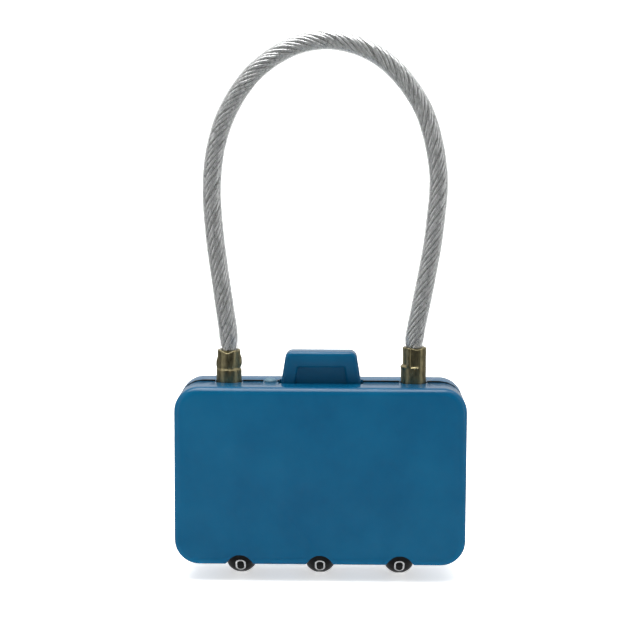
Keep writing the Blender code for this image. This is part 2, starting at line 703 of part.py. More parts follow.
def loop_points():
    """The cable's centre line, as a smooth curve through the route's own points."""
    route = [(-FERRULE_X + dx * MM, CASE_TOP + dz * MM) for dx, dz in CAPTIVE_ROUTE]
    route += [(FERRULE_X + dx * MM, CASE_TOP + dz * MM) for dx, dz in FREE_ROUTE]
    before = (route[0][0], 2 * route[0][1] - route[1][1])
    after = (route[-1][0], 2 * route[-1][1] - route[-2][1])
    padded = [Vector(p) for p in (before, *route, after)]
    points = []
    for a, b, c, d in zip(padded, padded[1:], padded[2:], padded[3:]):
        for n in range(ROUTE_STEPS):
            t = n / ROUTE_STEPS
            point = b * 2 + (c - a) * t + (a * 2 - b * 5 + c * 4 - d) * t**2
            point += (b * 3 - a - c * 3 + d) * t**3
            points.append(point / 2)
    points.append(padded[-2])
    return [Vector((p.x, 0, p.y)) for p in points]


def cable():
    """The steel rope, bare inside the ferrules, and the clear coat between them."""
    loop = loop_points()
    floor = CASE_TOP - FERRULE_SEAT + NECK_LENGTH + CLEAR + TIGHT
    first, last = loop[0].copy(), loop[-1].copy()
    first.z = last.z = floor
    wire("cable_rope", [first, *loop, last], ROPE_RADIUS, STEEL)
    start_z = CASE_TOP + CAPTIVE_FERRULE_HEIGHT + TIGHT
    end_z = CASE_TOP + FREE_FERRULE_HEIGHT + TIGHT
    covered = [p for p in loop if p.z > (start_z if p.x < 0 else end_z) + 2 * LOOSE]
    first.z, last.z = start_z, end_z
    rise, drop = Vector((0, 0, LOOSE)), Vector((0, 0, BEYOND))
    path = [first, first + rise, *covered, last + rise, last]
    coat = meshed(wire("cable_coat", path, COAT_RADIUS, COAT))
    inner = [first - drop, *path[1:-1], last - drop]
    core = as_cutter(meshed(wire("cable_coat_core", inner, COAT_BORE, COAT)))
    cut(coat, core)


def release_handle():
    """The suitcase handle, which is the release button, with its stop flange inside."""
    foot, top = HANDLE_FOOT_WIDTH / 2, HANDLE_TOP_WIDTH / 2
    crest = CASE_TOP + HANDLE_HEIGHT
    r = HANDLE_CORNER
    outline = [(-foot, FLANGE_BOTTOM), (foot, FLANGE_BOTTOM), (foot, CASE_TOP)]
    outline += arc((top - r, crest - r), r, 0, 90, 4)
    outline += arc((r - top, crest - r), r, 90, 180, 4)
    outline += [(-foot, CASE_TOP)]
    deep = HANDLE_DEPTH / 2
    at = (0, 0, CASE_TOP)
    handle = outline_plate("release_handle", outline, -deep, deep, BLUE, at, HANDLE_EDGE)
    half = HANDLE_FOOT_WIDTH / 2 - LOOSE
    rim = HANDLE_DEPTH / 2 + FLANGE_RIM
    low, high = (-half, -rim, FLANGE_BOTTOM), (half, rim, FLANGE_TOP)
    join(handle, box_cutter("handle_flange", low, high))
    foot, top = PANEL_FOOT_WIDTH / 2, PANEL_TOP_WIDTH / 2
    ledge = CASE_TOP + PANEL_HEIGHT
    panel = [(-foot, CASE_TOP - LOOSE), (foot, CASE_TOP - LOOSE), (top, ledge), (-top, ledge)]
    for name, low, high in (
        ("front_panel", -deep - BEYOND, -deep + PANEL_DEPTH),
        ("rear_panel", deep - PANEL_DEPTH, deep + BEYOND),
    ):
        cut(handle, as_cutter(outline_plate(name, panel, low, high, BLUE)))
    hole_top = TAB_TOP - PLATE_THICKNESS + SCREW_LENGTH + LOOSE
    ends = (0, 0, FLANGE_BOTTOM - BEYOND), (0, 0, hole_top)
    cut(handle, rod_cutter("handle_screw_hole", SCREW_RADIUS + TIGHT, *ends))
    handle_springs()


def handle_springs():
    """Two springs between the chassis web and the handle's flange."""
    length = FLANGE_BOTTOM - WEB_TOP - 2 * TIGHT
    for side, x in (("left", -HANDLE_SPRING_X), ("right", HANDLE_SPRING_X)):
        at = (x, 0, WEB_TOP + TIGHT)
        coil("handle_spring_" + side, HANDLE_SPRING_RADIUS, SPRING_WIRE, 4, at, length)


def latch_plate():
    """The steel plate under the handle: a finger over each cam, and a wedge for the clip."""
    left = DIAL_PLACES[0] + (CAM_START + CAM_END) / 2 - FINGER_WIDTH / 2
    right = DIAL_PLACES[-1] + (CAM_START + CAM_END) / 2 + FINGER_WIDTH / 2
    low, high = (left, PLATE_FRONT, PLATE_BOTTOM), (right, PLATE_BACK, PLATE_TOP)
    plate = box("latch_plate", low, high, SPRING_STEEL, (0, 0, CASE_TOP))
    deep = CHASSIS_DEPTH / 2 - TAB_INSET
    low = (-TAB_WIDTH / 2, -deep, TAB_TOP - PLATE_THICKNESS)
    high = (TAB_WIDTH / 2, PLATE_BACK, TAB_TOP)
    join(plate, box_cutter("latch_tab", low, high))
    low = (WEDGE_X - WEDGE_WIDTH / 2, -WEDGE_REACH, GROOVE_Z + CLIP_WIRE + LOOSE)
    high = (WEDGE_X + WEDGE_WIDTH / 2, PLATE_BACK, PLATE_TOP - OVERLAP)
    join(plate, box_cutter("latch_wedge", low, high))
    for i, x in enumerate(DIAL_PLACES, 1):
        middle = x + (CAM_START + CAM_END) / 2
        low = (middle - FINGER_WIDTH / 2, PLATE_FRONT, FOOT_BOTTOM)
        high = (middle + FINGER_WIDTH / 2, PLATE_BACK, PLATE_BOTTOM + OVERLAP)
        join(plate, box_cutter(f"latch_finger_{i}", low, high))
        low = (low[0], -GATE_WIDTH / 2 + CLEAR, FOOT_BOTTOM)
        high = (high[0], PLATE_BACK, FOOT_BOTTOM + PLATE_THICKNESS)
        join(plate, box_cutter(f"latch_foot_{i}", low, high))
    hole = SCREW_RADIUS + TIGHT
    ends = (0, 0, TAB_TOP - BEYOND), (0, 0, TAB_TOP + BEYOND)
    cut(plate, rod_cutter("latch_screw_hole", hole, *ends))


def latch_screw():
    seat = TAB_TOP - PLATE_THICKNESS - TIGHT
    tip = seat + SCREW_LENGTH
    bottom = seat - SCREW_HEAD_HEIGHT
    profile = [
        (0, tip), (SCREW_RADIUS, tip - CLEAR), (SCREW_RADIUS, seat), (SCREW_HEAD_RADIUS, seat),
        (SCREW_HEAD_RADIUS, bottom + CLEAR), (SCREW_HEAD_RADIUS - CLEAR, bottom), (0, bottom),
    ]
    local = [(r, z - CASE_TOP) for r, z in profile]
    turned("latch_screw", local, STEEL, (0, 0, CASE_TOP), steps=SMALL_STEPS)


def reset_button():
    """A small sprung pin beside the handle, which a pen presses to reset the code."""
    crest = CASE_TOP + RESET_RISE
    flange_top = CHASSIS_CEILING - CLEAR
    flange_low = flange_top - FLANGE_THICKNESS
    wide = RESET_RADIUS + RESET_FLANGE
    tip = flange_low - RESET_RISE
    dome = [
        (RESET_RADIUS * math.sin(a), crest - RESET_RISE * (1 - math.cos(a)))
        for a in (math.radians(d) for d in (0, 30, 60, 90))
    ]
    profile = [*dome, (RESET_RADIUS, flange_top), (wide, flange_top), (wide, flange_low)]
    profile += [(RESET_RADIUS / 2, flange_low), (RESET_RADIUS / 2, tip), (0, tip)]
    local = [(r, z - CASE_TOP) for r, z in profile]
    turned("reset_button", local, GREY_BLUE, (RESET_X, 0, CASE_TOP))
    length = flange_low - WEB_TOP - 2 * TIGHT
    at = (RESET_X, 0, WEB_TOP + TIGHT)
    coil("reset_spring", RESET_RADIUS / 2 + SPRING_WIRE + CLEAR, SPRING_WIRE, 5, at, length)


def smooth_round_pieces():
    """Round pieces look smooth, with their real corners kept sharp."""
    for made in PARTS.objects:
        if made.type == "MESH":
            made.data.shade_smooth()
            made.data.set_sharp_from_angle(angle=math.radians(35))


def main():
    openings = shell_cutters()
    slots = dial_cutters()
    case_half("front_shell", -1, [*openings, *slots])
    case_half("rear_shell", 1, [*openings, *slots])
    case_rivets()
    cross_pin_hole = chassis(openings)
    for i, x in enumerate(DIAL_PLACES, 1):
        dial(i, x)
        cam_sleeve(i, x)
    spindle_group()
    detent_spring()
    cable_ends(cross_pin_hole)
    retaining_clip()
    cable()
    release_handle()
    latch_plate()
    latch_screw()
    reset_button()
    smooth_round_pieces()


main()
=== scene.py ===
# %% [markdown]
# # A small cable padlock, shaped like a suitcase
# The lock has a blue enamelled case in two halves, a black core between them, three number
# dials along its base and a loop of plastic-coated wire rope. The working parts come from a
# fixed frame. This lesson gives each visible piece its fine shape and its finish.

# %% Load the frame
import math
import random

import bmesh
import bpy
from mathutils import Matrix, Vector, noise


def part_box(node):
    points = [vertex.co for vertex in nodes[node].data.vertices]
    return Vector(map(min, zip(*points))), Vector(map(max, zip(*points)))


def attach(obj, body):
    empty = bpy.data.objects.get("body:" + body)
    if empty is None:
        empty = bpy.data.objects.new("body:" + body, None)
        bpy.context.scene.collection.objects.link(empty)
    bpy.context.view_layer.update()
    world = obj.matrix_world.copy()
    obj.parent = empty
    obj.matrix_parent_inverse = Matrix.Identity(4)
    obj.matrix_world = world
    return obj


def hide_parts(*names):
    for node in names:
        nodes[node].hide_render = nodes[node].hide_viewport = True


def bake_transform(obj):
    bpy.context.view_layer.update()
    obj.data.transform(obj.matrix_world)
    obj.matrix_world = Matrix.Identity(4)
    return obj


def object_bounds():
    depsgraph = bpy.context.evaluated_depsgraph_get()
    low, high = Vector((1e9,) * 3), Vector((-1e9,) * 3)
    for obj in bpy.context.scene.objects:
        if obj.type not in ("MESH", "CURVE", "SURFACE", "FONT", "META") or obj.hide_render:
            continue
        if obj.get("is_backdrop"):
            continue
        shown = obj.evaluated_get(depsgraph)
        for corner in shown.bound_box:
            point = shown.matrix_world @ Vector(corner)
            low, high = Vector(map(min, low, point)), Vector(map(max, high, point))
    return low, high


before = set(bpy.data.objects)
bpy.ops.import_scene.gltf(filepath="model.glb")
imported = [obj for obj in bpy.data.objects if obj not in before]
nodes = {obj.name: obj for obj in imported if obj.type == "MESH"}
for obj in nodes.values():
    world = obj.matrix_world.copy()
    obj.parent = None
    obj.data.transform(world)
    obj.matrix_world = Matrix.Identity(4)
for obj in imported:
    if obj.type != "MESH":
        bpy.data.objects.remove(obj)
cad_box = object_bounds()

MM = 0.001

# %% [markdown]
# ## Places from the frame
# Every size that the frame already holds is read from its boxes, so that a piece lands where
# the working parts are. Only the fine shapes, such as an edge radius, are stated here.

# %% Read the main places
shell_low, shell_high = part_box("front_shell")
HALF_WIDTH = shell_high.x
CASE_BOTTOM, CASE_TOP = shell_low.z, shell_high.z
FACE, SEAM = -shell_low.y, -shell_high.y


def middle(node):
    low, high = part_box(node)
    return (low + high) / 2


FERRULE_X = middle("free_ferrule").x
SPINDLE_Z = middle("dial_2").z
DIAL_RADIUS = SPINDLE_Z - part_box("dial_2")[0].z
DIAL_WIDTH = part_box("dial_2")[1].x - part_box("dial_2")[0].x
DIAL_PLACES = [middle(f"dial_{i}").x for i in (1, 2, 3)]
print("case top %.1f mm, ferrules at %.2f mm" % (CASE_TOP / MM, FERRULE_X / MM))

# %% [markdown]
# ## Meshes from rings
# Turned pieces, tubes and the case halves are all rows of rings joined by quads. One function
# joins them, and another turns the result into an object that is smooth but keeps its corners.


# %% Join rings into a closed skin
def joined_rings(work, rings, closed=False):
    """Joins rings of points, in order, with quads; the ends are capped or joined up."""
    rows = [[work.verts.new(p) for p in ring] for ring in rings]
    pairs = list(zip(rows, rows[1:]))
    if closed:
        pairs.append((rows[-1], rows[0]))
    for a, b in pairs:
        for i in range(len(a)):
            j = (i + 1) % len(a)
            work.faces.new((a[i], a[j], b[j], b[i]))
    if not closed:
        work.faces.new(list(reversed(rows[0])))
        work.faces.new(rows[-1])
    return rows


def shown(name, work, finish, body=None, sharp=35):
    """An object made of a bmesh, with outward faces, that rides on a body of the frame."""
    bmesh.ops.recalc_face_normals(work, faces=work.faces)
    mesh = bpy.data.meshes.new(name)
    work.to_mesh(mesh)
    work.free()
    mesh.materials.append(finish)
    mesh.shade_smooth()
    mesh.set_sharp_from_angle(angle=math.radians(sharp))
    made = bpy.data.objects.new(name, mesh)
    bpy.context.scene.collection.objects.link(made)
    if body:
        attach(made, body)
    return made


def applied(made, sharp=35):
    """Replaces an object's mesh with its evaluated one, so no modifier is left on it."""
    bpy.context.view_layer.update()
    graph = bpy.context.evaluated_depsgraph_get()
    mesh = bpy.data.meshes.new_from_object(made.evaluated_get(graph))
    made.modifiers.clear()
    made.data = mesh
    mesh.shade_smooth()
    mesh.set_sharp_from_angle(angle=math.radians(sharp))
    return made


def boolean(target, other, operation="DIFFERENCE"):
    step = target.modifiers.new(other.name, "BOOLEAN")
    step.operation = operation
    step.object = other


# %% [markdown]
# ## Finishes: the node helper and the colours
# A material is a small graph of nodes. One function adds a node, sets its values and links
# its inputs, and it serves for every kind of node. A pattern's size is given in metres, and
# a noise texture's scale is one over that. Colours are given as people see them, in sRGB
# hex, and turned to linear once.


# %% Colours and nodes
def linear(hex_colour):
    """An sRGB hex colour as linear RGBA."""
    out = []
    for i in (1, 3, 5):
        c = int(hex_colour[i:i + 2], 16) / 255
        out.append(c / 12.92 if c <= 0.04045 else ((c + 0.055) / 1.055) ** 2.4)
    return (*out, 1.0)


def add_node(tree, kind, settings=None, stops=(), **links):
    """Adds a node, sets its inputs and properties, and links inputs to given sockets.

    A colour ramp also takes its stops, each a position and a hex colour.
    """
    made = tree.nodes.new(kind)
    for key, value in (settings or {}).items():
        if key in made.inputs:
            made.inputs[key].default_value = value
        else:
            setattr(made, key, value)
    for key, socket in links.items():
        tree.links.new(socket, made.inputs[key.replace("_", " ")])
    if stops:
        band = made.color_ramp.elements
        while len(band) < len(stops):
            band.new(0.5)
        for spot, (at, colour) in zip(band, stops):
            spot.position = at
            spot.color = linear(colour)
    return made


def finish(name, **values):
    """A new material: its tree, its shader and the object's own coordinates in metres."""
    made = bpy.data.materials.new(name)
    made.use_nodes = True
    tree = made.node_tree
    shader = tree.nodes["Principled BSDF"]
    for key, value in values.items():
        shader.inputs[key.replace("_", " ")].default_value = value
    place = add_node(tree, "ShaderNodeTexCoord").outputs["Object"]
    return made, tree, shader, place


# %% [markdown]
# ## Gloss enamel on die-cast zinc
# The case is cast in zinc and sprayed with a stoved enamel. Sprayed paint is never quite
# flat: it has a faint orange peel about 1 mm across, slightly darker patches where it lies
# thicker, and a little dust. The peel is bump, and the patches are a ramp of three blues.


# %% Blue enamel
PATCHES, SMEARS = 9 * MM, 2.2 * MM
PEEL, PEEL_DEPTH = 1.1 * MM, 0.02 * MM
BLUES = [(0.3, "#014A6E"), (0.5, "#025074"), (0.72, "#045579")]


def stoved_enamel():
    made, tree, shader, place = finish("stoved_blue_enamel", IOR=1.5, Specular_IOR_Level=0.3)
    cloud = add_node(tree, "ShaderNodeTexNoise",
                     {"Scale": 1.0 / PATCHES, "Detail": 4.0, "Roughness": 0.6}, Vector=place)
    blue = add_node(tree, "ShaderNodeValToRGB", stops=BLUES, Fac=cloud.outputs["Fac"])
    tree.links.new(blue.outputs["Color"], shader.inputs["Base Color"])
    smear = add_node(tree, "ShaderNodeTexNoise",
                     {"Scale": 1.0 / SMEARS, "Detail": 5.0, "Roughness": 0.65}, Vector=place)
    gloss = add_node(tree, "ShaderNodeMapRange", {"To Min": 0.16, "To Max": 0.28},
                     Value=smear.outputs["Fac"])
    tree.links.new(gloss.outputs["Result"], shader.inputs["Roughness"])
    peel = add_node(tree, "ShaderNodeTexNoise",
                    {"Scale": 1.0 / PEEL, "Detail": 2.0, "Roughness": 0.55}, Vector=place)
    skin = add_node(tree, "ShaderNodeBump", {"Distance": PEEL_DEPTH, "Strength": 0.35},
                    Height=peel.outputs["Fac"])
    tree.links.new(skin.outputs["Normal"], shader.inputs["Normal"])
    return made


ENAMEL = stoved_enamel()
print("enamel with an orange peel of %.1f mm" % (PEEL / MM))

# %% [markdown]
# ## Plastics
# The core is glass-filled nylon, moulded black and slightly grainy. The dials are smoother
# black acetal, polished by fingers, with digits filled with white paint. The reset pin is a
# grey-blue plastic. Grain is drawn about 0.3 mm wide, coarser than real, so that it shows.


# %% Black nylon, dial acetal, digit paint and the pin's plastic
def moulded(name, dark, light, rough, grain, depth):
    """A moulded plastic: one grain gives it two tones, an uneven gloss and its texture."""
    made, tree, shader, place = finish(name, Roughness=rough, IOR=1.49)
    speck = add_node(tree, "ShaderNodeTexNoise",
                     {"Scale": 1.0 / grain, "Detail": 4.0, "Roughness": 0.55}, Vector=place)
    speck = speck.outputs["Fac"]
    tone = add_node(tree, "ShaderNodeValToRGB", stops=[(0.35, dark), (0.7, light)], Fac=speck)
    tree.links.new(tone.outputs["Color"], shader.inputs["Base Color"])
    gloss = add_node(tree, "ShaderNodeMapRange",
                     {"To Min": rough - 0.08, "To Max": rough + 0.1}, Value=speck)
    tree.links.new(gloss.outputs["Result"], shader.inputs["Roughness"])
    skin = add_node(tree, "ShaderNodeBump", {"Distance": depth, "Strength": 1.0}, Height=speck)
    tree.links.new(skin.outputs["Normal"], shader.inputs["Normal"])
    return made


NYLON = moulded("glass_filled_nylon", "#0B0B0C", "#161617", 0.55, 0.3 * MM, 0.02 * MM)
ACETAL = moulded("black_acetal", "#0C0C0C", "#171716", 0.36, 0.4 * MM, 0.006 * MM)
DIGIT_PAINT = moulded("white_filler_paint", "#B9B9BA", "#D9D9D8", 0.5, 0.35 * MM, 0.01 * MM)
PIN_PLASTIC = moulded("grey_blue_plastic", "#4F7487", "#6A8B9A", 0.42, 0.5 * MM, 0.01 * MM)
print("plastics:", NYLON.name, ACETAL.name, DIGIT_PAINT.name, PIN_PLASTIC.name)

# %% [markdown]
# ## Metals
# The ferrules are brass tube with an antique plating: dark olive brown in the hollows and
# rubbed bright on the high stretches, with streaks along the tube from drawing. The rope is
# galvanised wire, whose zinc is mottled. The inner parts are turned steel and bright brass.
# Real streaks are finer than these, which are 0.3 to 0.4 mm wide so that they show. A
# stretch below 1 lays them across Z, as on a turned piece. Metals keep the usual IOR.


# %% Plated ferrules, galvanised wire, turned steel, spring steel and brass
def drawn_metal(name, tones, low, high, size, stretch, depth):
    """A metal with streaks: the noise is stretched along Z by the given factor."""
    made, tree, shader, place = finish(name, Metallic=1.0)
    along = add_node(tree, "ShaderNodeMapping", {"Scale": (1.0, 1.0, 1.0 / stretch)}, Vector=place)
    streak = add_node(tree, "ShaderNodeTexNoise",
                      {"Scale": 1.0 / size, "Detail": 5.0, "Roughness": 0.6},
                      Vector=along.outputs["Vector"])
    streak = streak.outputs["Fac"]
    tone = add_node(tree, "ShaderNodeValToRGB", stops=tones, Fac=streak)
    tree.links.new(tone.outputs["Color"], shader.inputs["Base Color"])
    gloss = add_node(tree, "ShaderNodeMapRange", {"To Min": low, "To Max": high}, Value=streak)
    tree.links.new(gloss.outputs["Result"], shader.inputs["Roughness"])
    skin = add_node(tree, "ShaderNodeBump", {"Distance": depth, "Strength": 0.6}, Height=streak)
    tree.links.new(skin.outputs["Normal"], shader.inputs["Normal"])
    return made


OLD_BRASS = [(0.28, "#5F593C"), (0.45, "#90886A"), (0.6, "#A29670"), (0.75, "#C6C2A0")]
ZINC = [(0.34, "#A3A4A4"), (0.5, "#E0E0E0"), (0.64, "#FFFFFF")]
# Painted shade: the core's near-black tones stand in for the shade in the gaps between the wires.
CORE_GAP_SHADE = [(0.3, "#181818"), (0.7, "#2C2C2C")]
STEEL = [(0.3, "#B4B6B8"), (0.7, "#D6D7D8")]
SPRING = [(0.3, "#8B8D90"), (0.7, "#AEB0B2")]
BRASS = [(0.3, "#B58F45"), (0.7, "#D4B268")]
PLATED = drawn_metal("antique_plated_brass", OLD_BRASS, 0.28, 0.5, 0.4 * MM, 2.5, 0.04 * MM)
GALVANISED = drawn_metal("galvanised_wire", ZINC, 0.2, 0.4, 0.4 * MM, 2.5, 0.02 * MM)
GAP_SHADED_CORE = drawn_metal("core_wire_painted_gap_shade", CORE_GAP_SHADE, 0.4, 0.6, 0.3 * MM, 1.5, 0.02 * MM)
TURNED = drawn_metal("turned_steel", STEEL, 0.2, 0.34, 0.3 * MM, 0.3, 0.004 * MM)
SPRUNG = drawn_metal("spring_steel", SPRING, 0.25, 0.4, 0.4 * MM, 2.0, 0.004 * MM)
CAM_BRASS = drawn_metal("free_cutting_brass", BRASS, 0.2, 0.34, 0.3 * MM, 0.3, 0.004 * MM)
for metal in (PLATED, GALVANISED, GAP_SHADED_CORE, TURNED, SPRUNG, CAM_BRASS):
    print("metal:", metal.name)

# %% [markdown]
# ## Clear PVC
# The rope is dipped in soft PVC. Seen straight on it is almost clear, and towards its edges
# the eye looks along more plastic, so it turns milky. Full refraction would hide the wires
# in noise, so the coat is a thin veil whose cover grows towards the edge, with its own gloss.


# %% Clear coat
DIP_WAVE, DIP_DEPTH = 1.6 * MM, 0.03 * MM
COVER_MIDDLE, COVER_EDGE = 0.11, 0.75


def clear_pvc():
    made, tree, shader, place = finish("clear_soft_pvc", Roughness=0.16, IOR=1.53)
    shader.inputs["Base Color"].default_value = linear("#DCDEDD")
    facing = add_node(tree, "ShaderNodeLayerWeight", {"Blend": 0.36}).outputs["Facing"]
    cover = add_node(tree, "ShaderNodeMapRange", {
        "From Min": 0.3, "From Max": 1.0, "To Min": COVER_MIDDLE, "To Max": COVER_EDGE,
    }, Value=facing)
    tree.links.new(cover.outputs["Result"], shader.inputs["Alpha"])
    wave = add_node(tree, "ShaderNodeTexNoise",
                    {"Scale": 1.0 / DIP_WAVE, "Detail": 2.0, "Roughness": 0.55}, Vector=place)
    skin = add_node(tree, "ShaderNodeBump", {"Distance": DIP_DEPTH, "Strength": 0.5},
                    Height=wave.outputs["Fac"])
    tree.links.new(skin.outputs["Normal"], shader.inputs["Normal"])
    return made


PVC = clear_pvc()
print("coat covers %.0f %% seen straight on and %.0f %% at its edges" % (
    COVER_MIDDLE * 100, COVER_EDGE * 100))

# %% [markdown]
# ## The studio
# The lock is shown upright against a pale sweep: a floor that curves up into a backdrop, so
# no horizon shows. The sweep is translucent and lit from behind, as on a light table, so it
# glows a little by itself. Gloss on the lock mirrors the room instead of the sweep, or every
# metal piece would turn pale.


# %% Floor and backdrop
PAPER_CLOUD = 60 * MM
PAPER_GLOW = 0.58


def studio_paper():
    made, tree, shader, place = finish("pale_paper", Roughness=0.9)
    shade = add_node(tree, "ShaderNodeTexNoise",
                     {"Scale": 1.0 / PAPER_CLOUD, "Detail": 2.0, "Roughness": 0.55}, Vector=place)
    white = add_node(tree, "ShaderNodeValToRGB", stops=[(0.3, "#F3F3F2"), (0.7, "#F7F7F6")],
                     Fac=shade.outputs["Fac"])
    tree.links.new(white.outputs["Color"], shader.inputs["Base Color"])
    shader.inputs["Emission Color"].default_value = linear("#FFFFFF")
    shader.inputs["Emission Strength"].default_value = PAPER_GLOW
    return made


SWEEP_HALF = 6.0
SWEEP_FRONT, SWEEP_BACK, SWEEP_RADIUS, SWEEP_TOP = -6.0, 0.9, 0.45, 2.0
SWEEP_STEPS = 16
work = bmesh.new()
sweep_line = [(SWEEP_FRONT, 0.0)]
for i in range(SWEEP_STEPS + 1):
    turn = math.radians(90 * i / SWEEP_STEPS)
    y = SWEEP_BACK - SWEEP_RADIUS * (1 - math.sin(turn))
    sweep_line.append((y, SWEEP_RADIUS * (1 - math.cos(turn))))
sweep_line.append((SWEEP_BACK, SWEEP_TOP))
rows = [[work.verts.new((x, y, z)) for x in (-SWEEP_HALF, SWEEP_HALF)] for y, z in sweep_line]
for a, b in zip(rows, rows[1:]):
    work.faces.new((a[0], a[1], b[1], b[0]))
sweep = shown("studio_sweep", work, studio_paper())
sweep.visible_glossy = False
sweep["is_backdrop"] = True
print("sweep:", len(sweep.data.polygons), "faces")

# %% [markdown]
# ## Lights and room
# A large soft light hangs nearly overhead, and two tall ones stand at the sides, which draw
# the upright stripes on the round metal parts. A fourth one washes the backdrop. The room is
# a scale of greys, bright behind and above the lock and dim in front of it and below, which
# is what the metal mirrors. Colours are shown plainly, without a film curve.


# %% Soft lights and the room
def soft_light(name, at, towards, wide, high, power):
    """A rectangular light that faces a place; sizes are in metres and power is in watts."""
    lamp = bpy.data.lights.new(name, "AREA")
    lamp.shape = "RECTANGLE"
    lamp.size, lamp.size_y = wide, high
    lamp.energy = power
    made = bpy.data.objects.new(name, lamp)
    made.location = at
    made.rotation_euler = (Vector(towards) - Vector(at)).to_track_quat("-Z", "Y").to_euler()
    bpy.context.scene.collection.objects.link(made)
    return made


AIM = (0, 0, 35 * MM)
soft_light("top_softbox", (-0.06, -0.06, 0.62), AIM, 0.5, 0.4, 3.7)
soft_light("left_strip", (-0.5, -0.28, 0.16), AIM, 0.16, 0.5, 0.36)
soft_light("right_strip", (0.52, -0.16, 0.16), AIM, 0.12, 0.5, 0.42)
soft_light("back_wash", (0, 0.1, 0.8), (0, 0.9, 0.1), 1.2, 0.4, 6.0)

room = bpy.data.worlds.new("studio_room")
bpy.context.scene.world = room
room.use_nodes = True
sky = room.node_tree
way = add_node(sky, "ShaderNodeTexCoord").outputs["Generated"]
tilt = add_node(sky, "ShaderNodeVectorMath", {"operation": "DOT_PRODUCT"})
BRIGHT_SIDE = (0.0, 0.75, 0.66)
tilt.inputs[1].default_value = BRIGHT_SIDE
sky.links.new(way, tilt.inputs[0])
level = add_node(sky, "ShaderNodeMapRange", {"From Min": -0.9, "From Max": 1.0},
                 Value=tilt.outputs["Value"])
ROOM_GREYS = [(0.0, "#5A5B5C"), (0.45, "#707172"), (0.8, "#C4C5C6"), (1.0, "#FFFFFF")]
glow = add_node(sky, "ShaderNodeValToRGB", stops=ROOM_GREYS, Fac=level.outputs["Result"])
sky.links.new(glow.outputs["Color"], sky.nodes["Background"].inputs["Color"])
sky.nodes["Background"].inputs["Strength"].default_value = 0.9
bpy.context.scene.view_settings.view_transform = "Standard"
print("lights:", len(bpy.data.lights), "and a room in", len(ROOM_GREYS), "greys")

# %% [markdown]
# ## The camera
# It stands a forearm's length away, a little above the lock's middle and a hair to the
# right, with a longish lens, as for a catalogue picture. The lens follows from how wide the
# view is at the lock. The lock leans very slightly, so the camera rolls by the same amount.

# %% Camera
DISTANCE = 250 * MM
AIM_HEIGHT = 37.35 * MM
ELEVATION, AZIMUTH, ROLL = (math.radians(a) for a in (6.5, 0.8, 0.26))
VIEW_WIDTH = 93.1 * MM
SENSOR = 36.0
FRAME_SHIFT = -0.0022

eye = bpy.data.cameras.new("catalogue_camera")
eye.sensor_width = SENSOR
eye.lens = SENSOR * DISTANCE / VIEW_WIDTH
eye.shift_x = FRAME_SHIFT
eye.clip_start, eye.clip_end = 0.01, 20.0
camera = bpy.data.objects.new("catalogue_camera", eye)
bpy.context.scene.collection.objects.link(camera)
flat = math.cos(ELEVATION)
back = Vector((math.sin(AZIMUTH) * flat, -math.cos(AZIMUTH) * flat, math.sin(ELEVATION)))
camera.location = Vector((0, 0, AIM_HEIGHT)) + back * DISTANCE
camera.rotation_mode = "QUATERNION"
roll = Matrix.Rotation(ROLL, 4, "Z").to_quaternion()
camera.rotation_quaternion = (-back).to_track_quat("-Z", "Y") @ roll
bpy.context.scene.camera = camera
print("lens %.1f mm" % eye.lens)

# %% [markdown]
# ## The cable's route
# The loop leaves the fixed ferrule on the left, bulges outwards, crosses over and comes down
# to the free ferrule, a little wider on that side. Its points are given in millimetres from
# the nearer ferrule's axis and from the case's top, and one smooth curve passes through them.

# %% The route as one smooth curve
CAPTIVE_ROUTE = (
    (0.0, 3.2), (0.0, 5.0), (-0.12, 7.2), (-0.5, 9.9), (-1.2, 14.8), (-1.95, 20.4), (-2.4, 25.4),
    (-2.45, 28.8), (-2.05, 33.0), (-0.95, 37.2), (0.75, 40.8), (3.1, 44.1), (5.9, 46.55),
    (8.8, 48.2), (11.6, 49.05), (14.3, 49.3),
)
FREE_ROUTE = (
    (-9.8, 48.9), (-6.9, 47.9), (-4.1, 46.1), (-1.4, 43.35), (1.05, 39.5), (2.5, 35.2),
    (3.25, 31.0), (3.35, 28.0), (3.15, 25.4), (2.6, 20.4), (1.65, 14.8), (0.72, 9.9),
    (0.28, 7.6), (0.0, 5.6), (0.0, 3.7),
)


def smooth_route(steps=12):
    """A Catmull-Rom curve through the route's own points, in the XZ plane."""
    route = [(-FERRULE_X + dx * MM, CASE_TOP + dz * MM) for dx, dz in CAPTIVE_ROUTE]
    route += [(FERRULE_X + dx * MM, CASE_TOP + dz * MM) for dx, dz in FREE_ROUTE]
    before = (route[0][0], 2 * route[0][1] - route[1][1])
    after = (route[-1][0], 2 * route[-1][1] - route[-2][1])
    padded = [Vector(p) for p in (before, *route, after)]
    points = []
    for a, b, c, d in zip(padded, padded[1:], padded[2:], padded[3:]):
        for n in range(steps):
            t = n / steps
            point = b * 2 + (c - a) * t + (a * 2 - b * 5 + c * 4 - d) * t**2
            points.append((point + (b * 3 - a - c * 3 + d) * t**3) / 2)
    points.append(padded[-2])
    return [Vector((p.x, 0, p.y)) for p in points]


ROUTE = smooth_route()
print("route:", len(ROUTE), "points")

# %% [markdown]
# ## Even steps along the route
# Wires and coat are swept, so both need places at even steps along the curve, each with the
# way it runs and the way to its side. The rope starts lower than the coat, because it goes
# on into the ferrules, and the coat stops just above them.

# %% Cut the route into even steps
ROPE_STEP, COAT_STEP = 0.45 * MM, 0.7 * MM
END_GAP = 0.2 * MM
COAT_LIFT = 0.05 * MM


def between(points, start_z, end_z):
    """The route from one height on the left leg to another on the right leg."""
    kept = [p for p in points if p.z > (start_z if p.x < 0 else end_z) + END_GAP]
    first, last = kept[0].copy(), kept[-1].copy()
    first.z, last.z = start_z, end_z
    first.x, last.x = -FERRULE_X, FERRULE_X
    return [first, *kept, last]


def length_of(points):
    return sum((b - a).length for a, b in zip(points, points[1:]))


